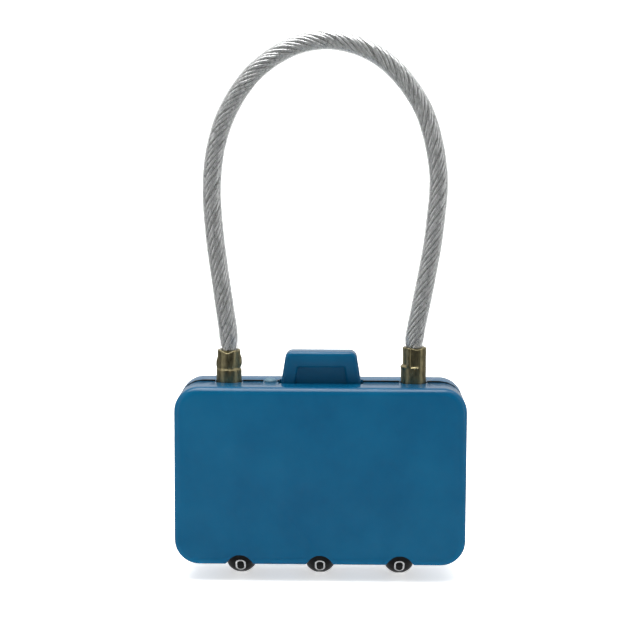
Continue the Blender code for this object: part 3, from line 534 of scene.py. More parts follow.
def even(points, step):
    """The same line in even steps, as (point, tangent, sideways) with sideways in the plane."""
    total = length_of(points)
    count = int(total / step)
    walked, i, out = 0.0, 0, []
    for n in range(count + 1):
        at = total * n / count
        while i < len(points) - 2 and walked + (points[i + 1] - points[i]).length < at:
            walked += (points[i + 1] - points[i]).length
            i += 1
        run = points[i + 1] - points[i]
        out.append(points[i] + run * min((at - walked) / run.length, 1.0))
    frames = []
    for n, p in enumerate(out):
        along = (out[min(n + 1, count)] - out[max(n - 1, 0)]).normalized()
        frames.append((p, along, Vector((along.z, 0, -along.x))))
    return frames


rope_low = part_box("cable_rope")[0].z
coat_low = (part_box("captive_ferrule")[1].z + COAT_LIFT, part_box("free_ferrule")[1].z + COAT_LIFT)
rope_line = even(between(ROUTE, rope_low, rope_low), ROPE_STEP)
coat_line = even(between(ROUTE, *coat_low), COAT_STEP)

# %% [markdown]
# ## How wide the rope looks
# A clear round coat works like a lens and makes the rope inside look as wide as the coat
# itself. So the lay is drawn at the width it looks, nearly the coat's own, and it narrows
# to the rope's real width just before each ferrule.

# %% Widths of the rope
ROPE_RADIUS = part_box("cable_rope")[1].y
COAT_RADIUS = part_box("cable_coat")[1].y
ROPE_LOOK = COAT_RADIUS - 0.06 * MM
SWELL_FROM, SWELL_TO = 3.6 * MM, 5.6 * MM


def ease(value, low, high):
    """0 below low, 1 above high and smooth between them."""
    t = min(max((value - low) / (high - low), 0.0), 1.0)
    return t * t * (3 - 2 * t)


def look_radius(walked, total):
    """How wide the rope looks: its own radius in a ferrule, and nearly the coat's beyond."""
    end = min(walked, total - walked)
    return ROPE_RADIUS + (ROPE_LOOK - ROPE_RADIUS) * ease(end, SWELL_FROM, SWELL_TO)


print("rope %.2f mm in radius, seen as %.2f mm" % (ROPE_RADIUS / MM, ROPE_LOOK / MM))

# %% [markdown]
# ## The wire rope
# Twelve zinc-coated wires are laid round a core, in a right-hand lay at about 30 degrees.
# The core is drawn near black as painted shade, which darkens the gaps between the wires.
# Each wire is swept along its own helix, which follows the bent centre line. Real lays are a
# little uneven, so each wire's place and depth wander slowly, which opens dark gaps.

# %% Lay the wires
WIRES = 12
WIRE_RADIUS = 0.2 * MM
WIRE_SIDES, CORE_SIDES = 6, 10
LAY_ANGLE = math.radians(30)
PITCH = 2 * math.pi * (ROPE_LOOK - WIRE_RADIUS) / math.tan(LAY_ANGLE)
# A wire strays by this angle and depth, over these lengths of rope.
STRAY, SINK = 0.15, 0.09 * MM
STRAY_LENGTH, SINK_LENGTH = 6 * MM, 4 * MM
lay = random.Random(11)


def tube_rings(points, radius, sides, outward):
    """Rings of a round tube along points; outward gives a direction off the line at each."""
    rings = []
    for n, p in enumerate(points):
        along = points[min(n + 1, len(points) - 1)] - points[max(n - 1, 0)]
        out = outward[n]
        side = along.cross(out).normalized()
        rings.append([
            p + (out * math.cos(a) + side * math.sin(a)) * radius
            for a in (2 * math.pi * k / sides for k in range(sides))
        ])
    return rings


rope_length = length_of([p for p, _, _ in rope_line])
rope_step = rope_length / (len(rope_line) - 1)
work = bmesh.new()
for w in range(WIRES):
    drift = lay.uniform(0, 100)
    phase = 2 * math.pi * (w + lay.uniform(-0.1, 0.1)) / WIRES
    points, outward = [], []
    for n, (p, _, side) in enumerate(rope_line):
        walked = n * rope_step
        sway = noise.noise(Vector((walked / STRAY_LENGTH, drift, 0.0)))
        sink = noise.noise(Vector((walked / SINK_LENGTH, drift, 9.0)))
        angle = phase + 2 * math.pi * walked / PITCH + STRAY * sway
        out = side * math.cos(angle) + Vector((0, 1, 0)) * math.sin(angle)
        reach = look_radius(walked, rope_length) - WIRE_RADIUS
        points.append(p + out * (reach - SINK * max(sink, 0.0)))
        outward.append(out)
    joined_rings(work, tube_rings(points, WIRE_RADIUS, WIRE_SIDES, outward))
rope = shown("wire_rope", work, GALVANISED, sharp=60)
work = bmesh.new()
core_line, sideways = [p for p, _, _ in rope_line], [s for _, _, s in rope_line]
CORE_RADIUS = ROPE_RADIUS - 1.3 * WIRE_RADIUS
joined_rings(work, tube_rings(core_line, CORE_RADIUS, CORE_SIDES, sideways))
# The core is drawn near black, as painted shade in the gaps between the wires.
rope_core = shown("rope_core", work, GAP_SHADED_CORE, sharp=60)
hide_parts("cable_rope")
for laid_piece in (rope, rope_core):
    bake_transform(laid_piece)
print("rope:", len(rope.data.polygons), "faces, pitch %.1f mm" % (PITCH / MM))

# %% [markdown]
# ## The clear coat
# The coat is a tube with an inner and an outer wall. Dipped PVC varies a little in
# thickness, so the outer wall breathes by a few hundredths of a millimetre, over about nine
# steps of its length. The rope rides inside it.

# %% Sweep the coat
COAT_WALL = 0.05 * MM
COAT_SIDES = 32
BREATHE, BREATHE_STEPS = 0.03 * MM, 9
# The mean outer radius lies a little inside the full one, so that swells hardly pass it.
SWELL_ROOM = 0.02 * MM


def coat_rings(radius, breathe):
    """Rings of one wall of the coat, whose radius swells by up to the given amount."""
    rings = []
    for n, (p, _, side) in enumerate(coat_line):
        swell = breathe * noise.noise(Vector((n / BREATHE_STEPS, 3.0, 5.0)))
        rings.append([
            p + (side * math.cos(a) + Vector((0, 1, 0)) * math.sin(a)) * (radius + swell)
            for a in (2 * math.pi * k / COAT_SIDES for k in range(COAT_SIDES))
        ])
    return rings


work = bmesh.new()
outer = coat_rings(COAT_RADIUS - SWELL_ROOM, BREATHE)
inner = coat_rings(COAT_RADIUS - COAT_WALL, 0.0)
joined_rings(work, outer + list(reversed(inner)), closed=True)
coat = shown("clear_coat_tube", work, PVC)
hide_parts("cable_coat")
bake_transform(coat)
print("coat:", len(coat.data.polygons), "faces")

# %% [markdown]
# ## Turned pieces
# The ferrules, dials and the reset pin start as a turned profile. A profile runs down the
# outside and up the bore. Each ring can then be warped by a rule of its own, which is how a
# crimp, a wavy rim or grip notches come about without any sculpting by hand.

# %% Turn a profile, with a warp
def turned_rings(profile, around, warp=None):
    """Rings about Z from (radius, height) points, each moved by warp(angle, radius, height)."""
    rings = []
    for radius, z in profile:
        ring = []
        for k in range(around):
            angle = 2 * math.pi * k / around
            r, h = warp(angle, radius, z) if warp else (radius, z)
            ring.append(Vector((r * math.cos(angle), r * math.sin(angle), h)))
        rings.append(ring)
    return rings


def filled(profile, step):
    """The same profile with points no further apart than a step."""
    out = [profile[0]]
    for (r0, z0), (r1, z1) in zip(profile, profile[1:]):
        count = max(1, math.ceil(math.hypot(r1 - r0, z1 - z0) / step))
        out += [(r0 + (r1 - r0) * i / count, z0 + (z1 - z0) * i / count)
                for i in range(1, count + 1)]
    return out


def turn_from(angle, centre_degrees):
    """The signed angle from a direction, in radians; 0 degrees is +X and -90 is the front."""
    return (angle - math.radians(centre_degrees) + math.pi) % (2 * math.pi) - math.pi


def hump(value, centre, width, power=2):
    """1 at the centre and 0 far from it; a higher power gives a flatter top."""
    return math.exp(-((value - centre) / width) ** power)


# %% [markdown]
# ## The ferrules
# Each end of the rope is crimped in a plated tube. Both start from one profile: a rounded
# rim, an upper part, a slanted ledge, a lower part that goes into the case, and the bore. Its
# points lie so close that dents can be real displacement instead of a texture.

# %% A crimped tube's profile
FERRULE_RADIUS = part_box("free_ferrule")[1].x - FERRULE_X
FERRULE_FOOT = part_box("free_ferrule")[0].z - CASE_TOP
FIXED_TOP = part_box("captive_ferrule")[1].z - CASE_TOP
TUBE_BORE = ROPE_RADIUS + 0.06 * MM
RIM = 0.12 * MM
LEDGE_SLANT = 0.15 * MM
FINE_STEP, BORE_STEP = 0.09 * MM, 1.5 * MM
FERRULE_SIDES = 160


def ferrule_profile(top, ledge, upper_radius):
    """A tube with a slanted ledge and a rounded rim, from the rim down, then up the bore."""
    outside = [
        (TUBE_BORE + RIM, top), (upper_radius - RIM, top),
        (upper_radius - 0.3 * RIM, top - 0.3 * RIM), (upper_radius, top - RIM),
        (upper_radius, ledge + LEDGE_SLANT), (FERRULE_RADIUS, ledge - LEDGE_SLANT),
        (FERRULE_RADIUS, FERRULE_FOOT),
    ]
    inside = [(TUBE_BORE, FERRULE_FOOT), (TUBE_BORE, top - RIM)]
    return filled(outside, FINE_STEP) + filled(inside, BORE_STEP)


def in_bore(radius):
    """Whether a profile point belongs to the bore, which no dent reaches."""
    return radius <= TUBE_BORE + 0.3 * RIM


def crinkle(angle, z, shift=0.0):
    """The slow unevenness that a press leaves all round a tube, from -1 to 1."""
    return noise.noise(Vector((math.cos(angle) * 2, math.sin(angle) * 2, z / (0.9 * MM) + shift)))


print("ferrules %.2f mm in radius, bored to %.2f mm" % (FERRULE_RADIUS / MM, TUBE_BORE / MM))

# %% [markdown]
# ## Dents of the fixed ferrule
# The press squeezed the upper part. It left a step all round, a dented rim, a seam down the
# front, two flats and a burr at each side. Each dent is a smooth hump with a width of its
# own, placed by an angle from the front or by a height above the case.

# %% Dents of the fixed ferrule
FRONT, LEFT = -90, 180
FIXED_LEDGE, FIXED_UPPER_RADIUS = 1.85 * MM, 1.68 * MM
# Each dip and flat: its angle from the front in radians, its width and its depth.
RIM_DIPS = ((-0.12, 0.5, 0.42 * MM), (1.3, 0.35, 0.16 * MM))
FLATS = ((-0.5, 0.3, 0.06 * MM), (0.75, 0.3, 0.06 * MM))
# A burr's side in degrees from the front, its height and how far it stands out.
BURRS = ((86, 3.0 * MM, 0.22 * MM), (-82, 2.7 * MM, 0.2 * MM))
BURR_WIDTH, BURR_LENGTH = 0.24, 0.75 * MM
SEAM_AT, SEAM_WIDTH, SEAM_DEPTH = 0.12, 0.075, 0.05 * MM
NOTCH_DEPTH, NOTCH_LENGTH = 0.13 * MM, 0.45 * MM
FIXED_CRINKLE = 0.035 * MM


def fixed_warp(angle, radius, z):
    """Step, seam, dented rim, flats and side burrs of the fixed ferrule."""
    if in_bore(radius):
        return radius, z
    front = turn_from(angle, FRONT)
    upper = ease(z, FIXED_LEDGE - 0.1 * MM, FIXED_LEDGE + 0.25 * MM)
    rim = ease(z, FIXED_TOP - 1.1 * MM, FIXED_TOP)
    for at, width, depth in RIM_DIPS:
        z -= rim * depth * hump(front, at, width)
    notch = hump(z, FIXED_LEDGE, NOTCH_LENGTH)
    radius -= (SEAM_DEPTH * upper + NOTCH_DEPTH * notch) * hump(front, SEAM_AT, SEAM_WIDTH)
    for at, width, depth in FLATS:
        radius -= depth * upper * hump(front, at, width)
    for side, height, reach in BURRS:
        beside = hump(turn_from(angle, FRONT + side), 0.0, BURR_WIDTH, 4)
        radius += reach * beside * hump(z, height, BURR_LENGTH, 4)
    return radius + FIXED_CRINKLE * crinkle(angle, z) * upper, z


print("fixed ferrule:", len(RIM_DIPS) + len(FLATS) + len(BURRS), "dents and burrs, and a seam")

# %% [markdown]
# ## Dents of the free ferrule
# Here the press left a round-ended channel down the front, whose foot curls up in a bright
# lip. Left of the channel is a ridge, and at the left the upper part is squeezed in above a
# shoulder. The rim dips a little in front.

# %% Dents of the free ferrule
FREE_LEDGE, LIP = 2.3 * MM, 2.15 * MM
CHANNEL_DEPTH, LIP_HEIGHT = 0.2 * MM, 0.2 * MM
RIDGE_HEIGHT, SHOULDER_HEIGHT, SQUEEZE = 0.1 * MM, 0.07 * MM, 0.26 * MM
FREE_RIM_DIP, FREE_CRINKLE = 0.25 * MM, 0.03 * MM
CHANNEL_AT, RIDGE_AT, RIDGE_WIDTH = 0.06, -0.58, 0.13


def free_warp(angle, radius, z):
    """Channel, lip, ridge, squeezed left side and dipped rim of the free ferrule."""
    if in_bore(radius):
        return radius, z
    front = turn_from(angle, FRONT) - CHANNEL_AT
    upper = ease(z, 2.2 * MM, 2.8 * MM)
    across, above = front * radius, z - LIP - 0.62 * MM
    inside = 1 - ease(math.hypot(across, min(above, 0.0)), 0.58 * MM, 0.76 * MM)
    radius -= CHANNEL_DEPTH * inside
    foot = hump(z, LIP + 0.12 * MM, 0.13 * MM) * (1 - ease(abs(across), 0.3 * MM, 0.6 * MM))
    radius += LIP_HEIGHT * foot
    radius += RIDGE_HEIGHT * hump(front, RIDGE_AT, RIDGE_WIDTH) * upper
    left = 1 - ease(abs(turn_from(angle, LEFT)), 0.75, 1.15)
    radius -= SQUEEZE * left * ease(z, 2.35 * MM, 2.75 * MM)
    radius += SHOULDER_HEIGHT * left * hump(z, FREE_LEDGE, 0.22 * MM)
    z -= FREE_RIM_DIP * ease(z, 4.3 * MM, 5.2 * MM) * hump(front, 0.2, 0.4)
    return radius + FREE_CRINKLE * crinkle(angle, z, 7) * upper, z


print("free ferrule: channel %.1f mm deep above a lip" % (CHANNEL_DEPTH / MM))

# %% [markdown]
# ## Both ferrules
# The same loop turns each profile, dents it and sets it on its own side of the case. The
# free one rides on the body that is pulled out, and the fixed one stays with the case.

# %% Turn both ferrules
for name, node, x, body, ledge, upper_radius, warp in (
    ("fixed_ferrule", "captive_ferrule", -FERRULE_X, "root",
     FIXED_LEDGE, FIXED_UPPER_RADIUS, fixed_warp),
    ("pulled_ferrule", "free_ferrule", FERRULE_X, "free_end",
     FREE_LEDGE, FERRULE_RADIUS, free_warp),
):
    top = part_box(node)[1].z - CASE_TOP
    work = bmesh.new()
    rings = turned_rings(ferrule_profile(top, ledge, upper_radius), FERRULE_SIDES, warp)
    joined_rings(work, rings, closed=True)
    bmesh.ops.translate(work, vec=(x, 0, CASE_TOP), verts=work.verts)
    tube = shown(name, work, PLATED, body, sharp=50)
    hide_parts(node)
    print(name, len(tube.data.polygons), "faces")

# %% [markdown]
# ## The case halves
# Each half is a cast tray: a face, round edges and a wall that stops just short of the other
# half. Rings of a rounded rectangle make its outside and its hollow. The cutters that make
# its holes are blocks, rods and boxes.

# %% Rings of the case
CORNER = 3.6 * MM
EDGE = 1.1 * MM
WALL = 1.1 * MM
CORNER_STEPS = 14
MID_Z = (CASE_TOP + CASE_BOTTOM) / 2
HALF_HEIGHT = (CASE_TOP - CASE_BOTTOM) / 2
LEAST_CORNER = 0.3 * MM


def rounded_ring(inset, y):
    """A rounded rectangle at a depth, set in from the case's outline."""
    radius = max(CORNER - inset, LEAST_CORNER)
    wide, high = HALF_WIDTH - inset - radius, HALF_HEIGHT - inset - radius
    ring = []
    for quarter, (sx, sz) in enumerate(((1, 1), (-1, 1), (-1, -1), (1, -1))):
        for i in range(CORNER_STEPS + 1):
            a = math.pi / 2 * (quarter + i / CORNER_STEPS)
            ring.append(Vector((sx * wide + radius * math.cos(a), y,
                                MID_Z + sz * high + radius * math.sin(a))))
    return ring


def block(name, rings):
    """A closed block through rings, used as a half or as a cutter."""
    work = bmesh.new()
    joined_rings(work, rings)
    return shown(name, work, ENAMEL)


def rod_cutter(name, radius, start, end, around=64):
    """A round cutter between two places."""
    start, end = Vector(start), Vector(end)
    work = bmesh.new()
    bmesh.ops.create_cone(work, cap_ends=True, segments=around, radius1=radius,
                          radius2=radius, depth=(end - start).length)
    turn = (end - start).to_track_quat("Z", "Y").to_matrix()
    bmesh.ops.rotate(work, matrix=turn, verts=work.verts)
    bmesh.ops.translate(work, vec=(start + end) / 2, verts=work.verts)
    return shown(name, work, ENAMEL)


def box_cutter(name, low, high):
    """A square cutter between its lowest and its highest corner."""
    work = bmesh.new()
    bmesh.ops.create_cube(work, size=1.0)
    low, high = Vector(low), Vector(high)
    bmesh.ops.scale(work, vec=high - low, verts=work.verts)
    bmesh.ops.translate(work, vec=(low + high) / 2, verts=work.verts)
    return shown(name, work, ENAMEL)


print("case %.1f x %.1f mm, corners %.1f mm" % (2 * HALF_WIDTH / MM, 2 * HALF_HEIGHT / MM, CORNER / MM))

# %% [markdown]
# ## Holes of the case
# The top has two round holes for the ferrules, one for the reset pin and a slot for the
# handle. The lower wall has a slot for each dial, and each face has an arched notch there,
# through which the thumb reaches the dial. Each hole is a little larger than what passes
# through it.

# %% Cutters for the holes
BEYOND = 3 * MM
HANDLE_FOOT = 5.825 * MM
HANDLE_HALF_DEPTH = 1.9 * MM
FERRULE_HOLE, RESET_HOLE = 2.05 * MM, 1.05 * MM
HANDLE_GAP, FLOOR_GAP = 0.3 * MM, 0.1 * MM
NOTCH_HALF = DIAL_WIDTH / 2 + 0.15 * MM
# Half widths and heights of a notch's arch, from the lower edge up to its flat crown.
ARCH = ((2.08, 0.0), (1.95, 0.22), (1.8, 0.44), (1.64, 0.68), (1.44, 0.92), (1.18, 1.14),
        (0.9, 1.32), (0.6, 1.45), (0.3, 1.51))
RESET_X = middle("reset_button").x


def case_cutters():
    """One cutter for each hole, and two for each dial."""
    above, below = CASE_TOP + BEYOND, CASE_TOP - 2 * WALL
    holes = []
    for x in (-FERRULE_X, FERRULE_X):
        holes.append(rod_cutter("cut_ferrule", FERRULE_HOLE, (x, 0, below), (x, 0, above)))
    wide, deep = HANDLE_FOOT + HANDLE_GAP, HANDLE_HALF_DEPTH + HANDLE_GAP
    holes.append(box_cutter("cut_handle", (-wide, -deep, below), (wide, deep, above)))
    holes.append(rod_cutter("cut_reset", RESET_HOLE, (RESET_X, 0, below), (RESET_X, 0, above)))
    low = CASE_BOTTOM - BEYOND
    floor = CASE_BOTTOM + WALL + FLOOR_GAP
    for x in DIAL_PLACES:
        deep = FACE - WALL
        holes.append(box_cutter("cut_slot", (x - NOTCH_HALF, -deep, low),
                                (x + NOTCH_HALF, deep, floor)))
        side = [(ARCH[0][0] * MM, low)] + [(a * MM, CASE_BOTTOM + b * MM) for a, b in ARCH]
        outline = side + [(-a, b) for a, b in reversed(side)]
        holes.append(block("cut_arch", [[Vector((x + a, y, b)) for a, b in outline]
                                        for y in (-FACE - BEYOND, FACE + BEYOND)]))
    return holes


holes = case_cutters()
print("case:", len(holes), "cutters")

# %% [markdown]
# ## Both halves
# Each half gets its hollow, four posts with a rivet hole in each, and the holes above. The
# rivets go in from the back, so only the rear half has a seat for their heads. A narrow
# bevel softens every cut edge, as paint does on a casting, so the edges catch a thin line
# of light.

# %% Build both halves
SOFT_EDGE, SOFT_ANGLE = 0.12 * MM, math.radians(50)
SEAM_CHAMFER = 0.1 * MM
ROUND_STEPS, HOLLOW_STEPS = 8, 4
HOLLOW_ROUND = 0.3 * MM
POST_RADIUS, RIVET_HOLE, RIVET_SEAT = 1.25 * MM, 0.65 * MM, 1.15 * MM
POST_SINK, RIVET_REACH, SEAT_DEPTH = 0.4 * MM, 1.5 * MM, 1.1 * MM
RIVETS = [middle(f"case_rivet_{i}") for i in (1, 2, 3, 4)]


def case_half(name, node, side, holes):
    """One half: side is -1 for the front and 1 for the rear."""
    rings = [rounded_ring(SEAM_CHAMFER, side * SEAM),
             rounded_ring(0.3 * SEAM_CHAMFER, side * (SEAM + 0.3 * SEAM_CHAMFER)),
             rounded_ring(0.0, side * (SEAM + SEAM_CHAMFER))]
    for i in range(ROUND_STEPS + 1):
        a = math.pi / 2 * i / ROUND_STEPS
        rings.append(rounded_ring(EDGE * (1 - math.cos(a)), side * (FACE - EDGE * (1 - math.sin(a)))))
    half = block(name, rings)
    inside = FACE - WALL
    hollow = [rounded_ring(WALL, -side * BEYOND)]
    for i in range(HOLLOW_STEPS + 1):
        a = math.pi / 2 * i / HOLLOW_STEPS
        hollow.append(rounded_ring(WALL + HOLLOW_ROUND * (1 - math.cos(a)),
                                   side * (inside - HOLLOW_ROUND * (1 - math.sin(a)))))
    cutters = [block(name + "_hollow", hollow)]
    boolean(half, cutters[0])
    for at in RIVETS:
        post = rod_cutter("post", POST_RADIUS, (at.x, side * SEAM, at.z),
                          (at.x, side * (inside + POST_SINK), at.z))
        boolean(half, post, "UNION")
        end = FACE + BEYOND if side > 0 else -inside + RIVET_REACH
        start = (at.x, -side * BEYOND, at.z)
        hole = rod_cutter("rivet_hole", RIVET_HOLE, start, (at.x, end, at.z))
        boolean(half, hole)
        cutters += [post, hole]
        if side > 0:
            seat = rod_cutter("rivet_seat", RIVET_SEAT, (at.x, FACE - SEAT_DEPTH, at.z),
                              (at.x, FACE + BEYOND, at.z))
            boolean(half, seat)
            cutters.append(seat)
    for hole in holes:
        boolean(half, hole)
    soften = half.modifiers.new("soft_edges", "BEVEL")
    soften.width = SOFT_EDGE
    soften.segments = 2
    soften.limit_method = "ANGLE"
    soften.angle_limit = SOFT_ANGLE
    soften.use_clamp_overlap = True
    applied(half, 40)
    for old in cutters:
        bpy.data.objects.remove(old, do_unlink=True)
    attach(half, "root")
    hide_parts(node)
    print(name, len(half.data.polygons), "faces")


case_half("front_half", "front_shell", -1, holes)
case_half("rear_half", "rear_shell", 1, holes)
for hole in holes:
    bpy.data.objects.remove(hole, do_unlink=True)

# %% [markdown]
# ## The handle
# The handle is the release button, cast and painted like the case. Seen from the front it is
# a trapezium with round shoulders. Its outline is worked out once, and rings of it, set in
# more and more towards each face, give the body its round edges.

# %% The handle's body and flange
HANDLE_LOW, HANDLE_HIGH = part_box("release_handle")
CREST, FLANGE_LOW = HANDLE_HIGH.z, HANDLE_LOW.z
TOP_HALF = 5.25 * MM
SHOULDER, SHOULDER_STEPS = 1.1 * MM, 10
HANDLE_EDGE, HANDLE_STEPS = 0.6 * MM, 6
FLANGE_HEIGHT, FLANGE_SETBACK = 1.2 * MM, 0.3 * MM


def handle_ring(inset, y):
    """The handle's outline, set in by an amount all round, at a depth."""
    foot, top, crest = HANDLE_FOOT - inset, TOP_HALF - inset, CREST - inset
    radius = SHOULDER - inset * 0.6
    low = FLANGE_LOW + inset
    ring = [Vector((foot, y, low)), Vector((foot, y, CASE_TOP))]
    for i in range(SHOULDER_STEPS + 1):
        a = math.pi / 2 * i / SHOULDER_STEPS
        ring.append(Vector((top - radius + radius * math.cos(a), y,
                            crest - radius + radius * math.sin(a))))
    return ring + [Vector((-p.x, y, p.z)) for p in reversed(ring)]


rings = []
for side in (-1, 1):
    steps = range(HANDLE_STEPS + 1)
    for i in steps if side < 0 else reversed(steps):
        a = math.pi / 2 * i / HANDLE_STEPS
        depth = HANDLE_HALF_DEPTH - HANDLE_EDGE * (1 - math.cos(a))
        rings.append(handle_ring(HANDLE_EDGE * (1 - math.sin(a)), side * depth))
work = bmesh.new()
joined_rings(work, rings)
handle = shown("release_handle_cast", work, ENAMEL)
flange_half = (HANDLE_HIGH.y - HANDLE_LOW.y) / 2
flange_wide = HANDLE_FOOT - FLANGE_SETBACK
flange = box_cutter("flange", (-flange_wide, -flange_half, FLANGE_LOW),
                    (flange_wide, flange_half, FLANGE_LOW + FLANGE_HEIGHT))
boolean(handle, flange, "UNION")
print("handle %.1f mm wide at its foot and %.1f mm at its top" % (
    2 * HANDLE_FOOT / MM, 2 * TOP_HALF / MM))

# %% [markdown]
# ## Panels and bore of the handle
# Each face has a shallow panel that opens at the foot. It is a cutter with drafted sides, as
# a die needs, or the casting would stick. A bore from below takes the latch's screw. A
# bevel rounds the new edges as the paint does, and then all these steps are applied.

# %% Sink the panels and the bore
PANEL_FOOT, PANEL_TOP, PANEL_HEIGHT, PANEL_DEPTH = 3.75 * MM, 3.4 * MM, 2.3 * MM, 0.45 * MM
PANEL_DRAFT = 0.22 * MM
PANEL_BELOW = 0.3 * MM
PANEL_ROUND, PANEL_STEPS = 0.35 * MM, 5
SCREW_BORE, BORE_DEPTH, BORE_SIDES = 0.55 * MM, 2.1 * MM, 32
HANDLE_SOFT, HANDLE_SOFT_ANGLE = 0.16 * MM, math.radians(42)


def panel_ring(y, grow):
    """The panel's outline at a depth, wider by the draft nearer the face."""
    foot, top, ledge = PANEL_FOOT + grow, PANEL_TOP + grow, CASE_TOP + PANEL_HEIGHT + grow
    ring = [Vector((foot, y, CASE_TOP - PANEL_BELOW))]
    for i in range(PANEL_STEPS + 1):
        a = math.pi / 2 * i / PANEL_STEPS
        ring.append(Vector((top - PANEL_ROUND * (1 - math.cos(a)), y,
                            ledge - PANEL_ROUND * (1 - math.sin(a)))))
    return ring + [Vector((-p.x, y, p.z)) for p in reversed(ring)]


cutters = [flange]
panel_floor = HANDLE_HALF_DEPTH - PANEL_DEPTH
for side in (-1, 1):
    panel = block("panel", [
        panel_ring(side * panel_floor, 0.0), panel_ring(side * HANDLE_HALF_DEPTH, PANEL_DRAFT),
        panel_ring(side * (HANDLE_HALF_DEPTH + BEYOND), PANEL_DRAFT),
    ])
    boolean(handle, panel)
    cutters.append(panel)
bore = rod_cutter("screw_bore", SCREW_BORE, (0, 0, FLANGE_LOW - BEYOND),
                  (0, 0, FLANGE_LOW + BORE_DEPTH), BORE_SIDES)
boolean(handle, bore)
cutters.append(bore)
soften = handle.modifiers.new("soft_edges", "BEVEL")
soften.width = HANDLE_SOFT
soften.segments = 3
soften.limit_method = "ANGLE"
soften.angle_limit = HANDLE_SOFT_ANGLE
applied(handle, 40)
for old in cutters:
    bpy.data.objects.remove(old, do_unlink=True)
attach(handle, "handle")
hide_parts("release_handle")
print("handle", len(handle.data.polygons), "faces")

# %% [markdown]
# ## The dials
# A dial is a moulded barrel with ten places. Its crown is an arc of a circle, and between
# the places there is a shallow valley for the fingertip, which fades towards the sides. It
# is turned about Z and then laid along X. The bore stays open round the cam sleeve.

# %% Turn the dials
PLACES = 10
CROWN = 1.25 * MM
CROWN_STEPS, DIAL_SIDES = 20, 160
BORE = 1.15 * MM
HUB = BORE + 0.9 * MM
VALLEY = 0.05 * MM
SHOWN_DIGIT = math.radians(-42.5)
RIM_EASE = 0.08 * MM
RECESS = 0.1 * MM
FLANK_OUT, FLANK_IN = 0.4 * MM, 0.5 * MM
HALF_DIAL = DIAL_WIDTH / 2
# The circle whose arc is as wide as the dial and as high as its crown.
CROWN_CIRCLE = (HALF_DIAL**2 + CROWN**2) / (2 * CROWN)


def crown_radius(x):
    """The barrel's radius at a distance from its middle."""
    return DIAL_RADIUS - CROWN_CIRCLE + math.sqrt(CROWN_CIRCLE**2 - x * x)


def dial_warp(angle, radius, z):
    """Sinks a valley between each two places, and leaves the bore and sides alone."""
    if radius < DIAL_RADIUS - CROWN - 0.2 * MM:
        return radius, z
    turn = (angle - SHOWN_DIGIT) * PLACES
    valley = ((1 - math.cos(turn)) / 2) ** 6
    return radius - VALLEY * valley * (1 - (z / HALF_DIAL) ** 2), z


crown = []
for n in range(CROWN_STEPS + 1):
    along = HALF_DIAL - DIAL_WIDTH * n / CROWN_STEPS
    crown.append((crown_radius(along), along))
crown[0] = (crown[0][0] - RIM_EASE, HALF_DIAL)
crown[-1] = (crown[-1][0] - RIM_EASE, -HALF_DIAL)
rim_radius, sunk = crown[0][0], HALF_DIAL - RECESS
# One side from the bore out to the rim: a raised hub, a shallow recess and a flank.
side_out = [(BORE, HALF_DIAL), (HUB, HALF_DIAL), (HUB + RECESS, sunk),
            (rim_radius - FLANK_IN, sunk), (rim_radius - FLANK_OUT, HALF_DIAL)]
dial_profile = side_out + crown + [(r, -z) for r, z in reversed(side_out)]
# Turning about Z puts angle 0 on +X; this lays the barrel along X with angle 0 on -Y.
LAY_DOWN = Matrix(((0, 0, 1), (-1, 0, 0), (0, -1, 0))).to_4x4()


def laid(point, x):
    """A point of the upright barrel, laid along X at a dial's place."""
    return LAY_DOWN @ point + Vector((x, 0, SPINDLE_Z))


for i, x in enumerate(DIAL_PLACES, 1):
    work = bmesh.new()
    rings = turned_rings(dial_profile, DIAL_SIDES, dial_warp)
    joined_rings(work, [[laid(p, x) for p in ring] for ring in rings], closed=True)
    wheel = shown(f"number_wheel_{i}", work, ACETAL, f"dial_{i}")
    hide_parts(f"dial_{i}")
print("dials:", len(wheel.data.polygons), "faces each")

# %% [markdown]
# ## The digits
# The digits are moulded proud and filled with white paint, condensed so that ten fit round
# the wheel. Each is drawn as strokes in a box one unit wide and two high, with round corners
# from arcs, because a font would bring its own shapes and a flat picture would have no
# thickness.

# %% Stroke shapes
def bend(cx, cy, rx, ry, start, end, steps=8):
    """Points along an elliptical arc, by angle in degrees."""
    out = []
    for i in range(steps + 1):
        a = math.radians(start + (end - start) * i / steps)
        out.append((cx + rx * math.cos(a), cy + ry * math.sin(a)))
    return out


ZERO = bend(0, 0.42, 0.5, 0.58, 0, 180, 12) + bend(0, -0.42, 0.5, 0.58, 180, 360, 12)
DIGITS = {
    0: [ZERO + ZERO[:1]],
    1: [[(-0.3, 0.62), (0.05, 1.0), (0.05, -1.0)]],
    2: [bend(0, 0.5, 0.5, 0.5, 170, -35) + [(-0.5, -1.0), (0.5, -1.0)]],
    3: [bend(0, 0.5, 0.46, 0.5, 150, -90) + bend(0, -0.5, 0.5, 0.5, 90, -150)],
    4: [[(0.25, -1.0), (0.25, 1.0), (-0.5, -0.4), (0.5, -0.4)]],
    5: [[(0.45, 1.0), (-0.42, 1.0), (-0.46, 0.15)] + bend(0, -0.4, 0.5, 0.6, 120, -150)],
    6: [bend(0, -0.42, 0.5, 0.58, 0, 360, 16), bend(0.35, -0.3, 0.85, 1.3, 178, 95)],
    7: [[(-0.5, 1.0), (0.5, 1.0), (-0.12, -1.0)]],
    8: [bend(0, 0.5, 0.42, 0.5, -90, 270, 16), bend(0, -0.5, 0.5, 0.5, 90, 450, 16)],
    9: [bend(0, 0.42, 0.5, 0.58, 0, 360, 16), bend(-0.35, 0.3, 0.85, 1.3, -2, -85)],
}

print("digits:", sum(len(strokes) for strokes in DIGITS.values()), "strokes in all")

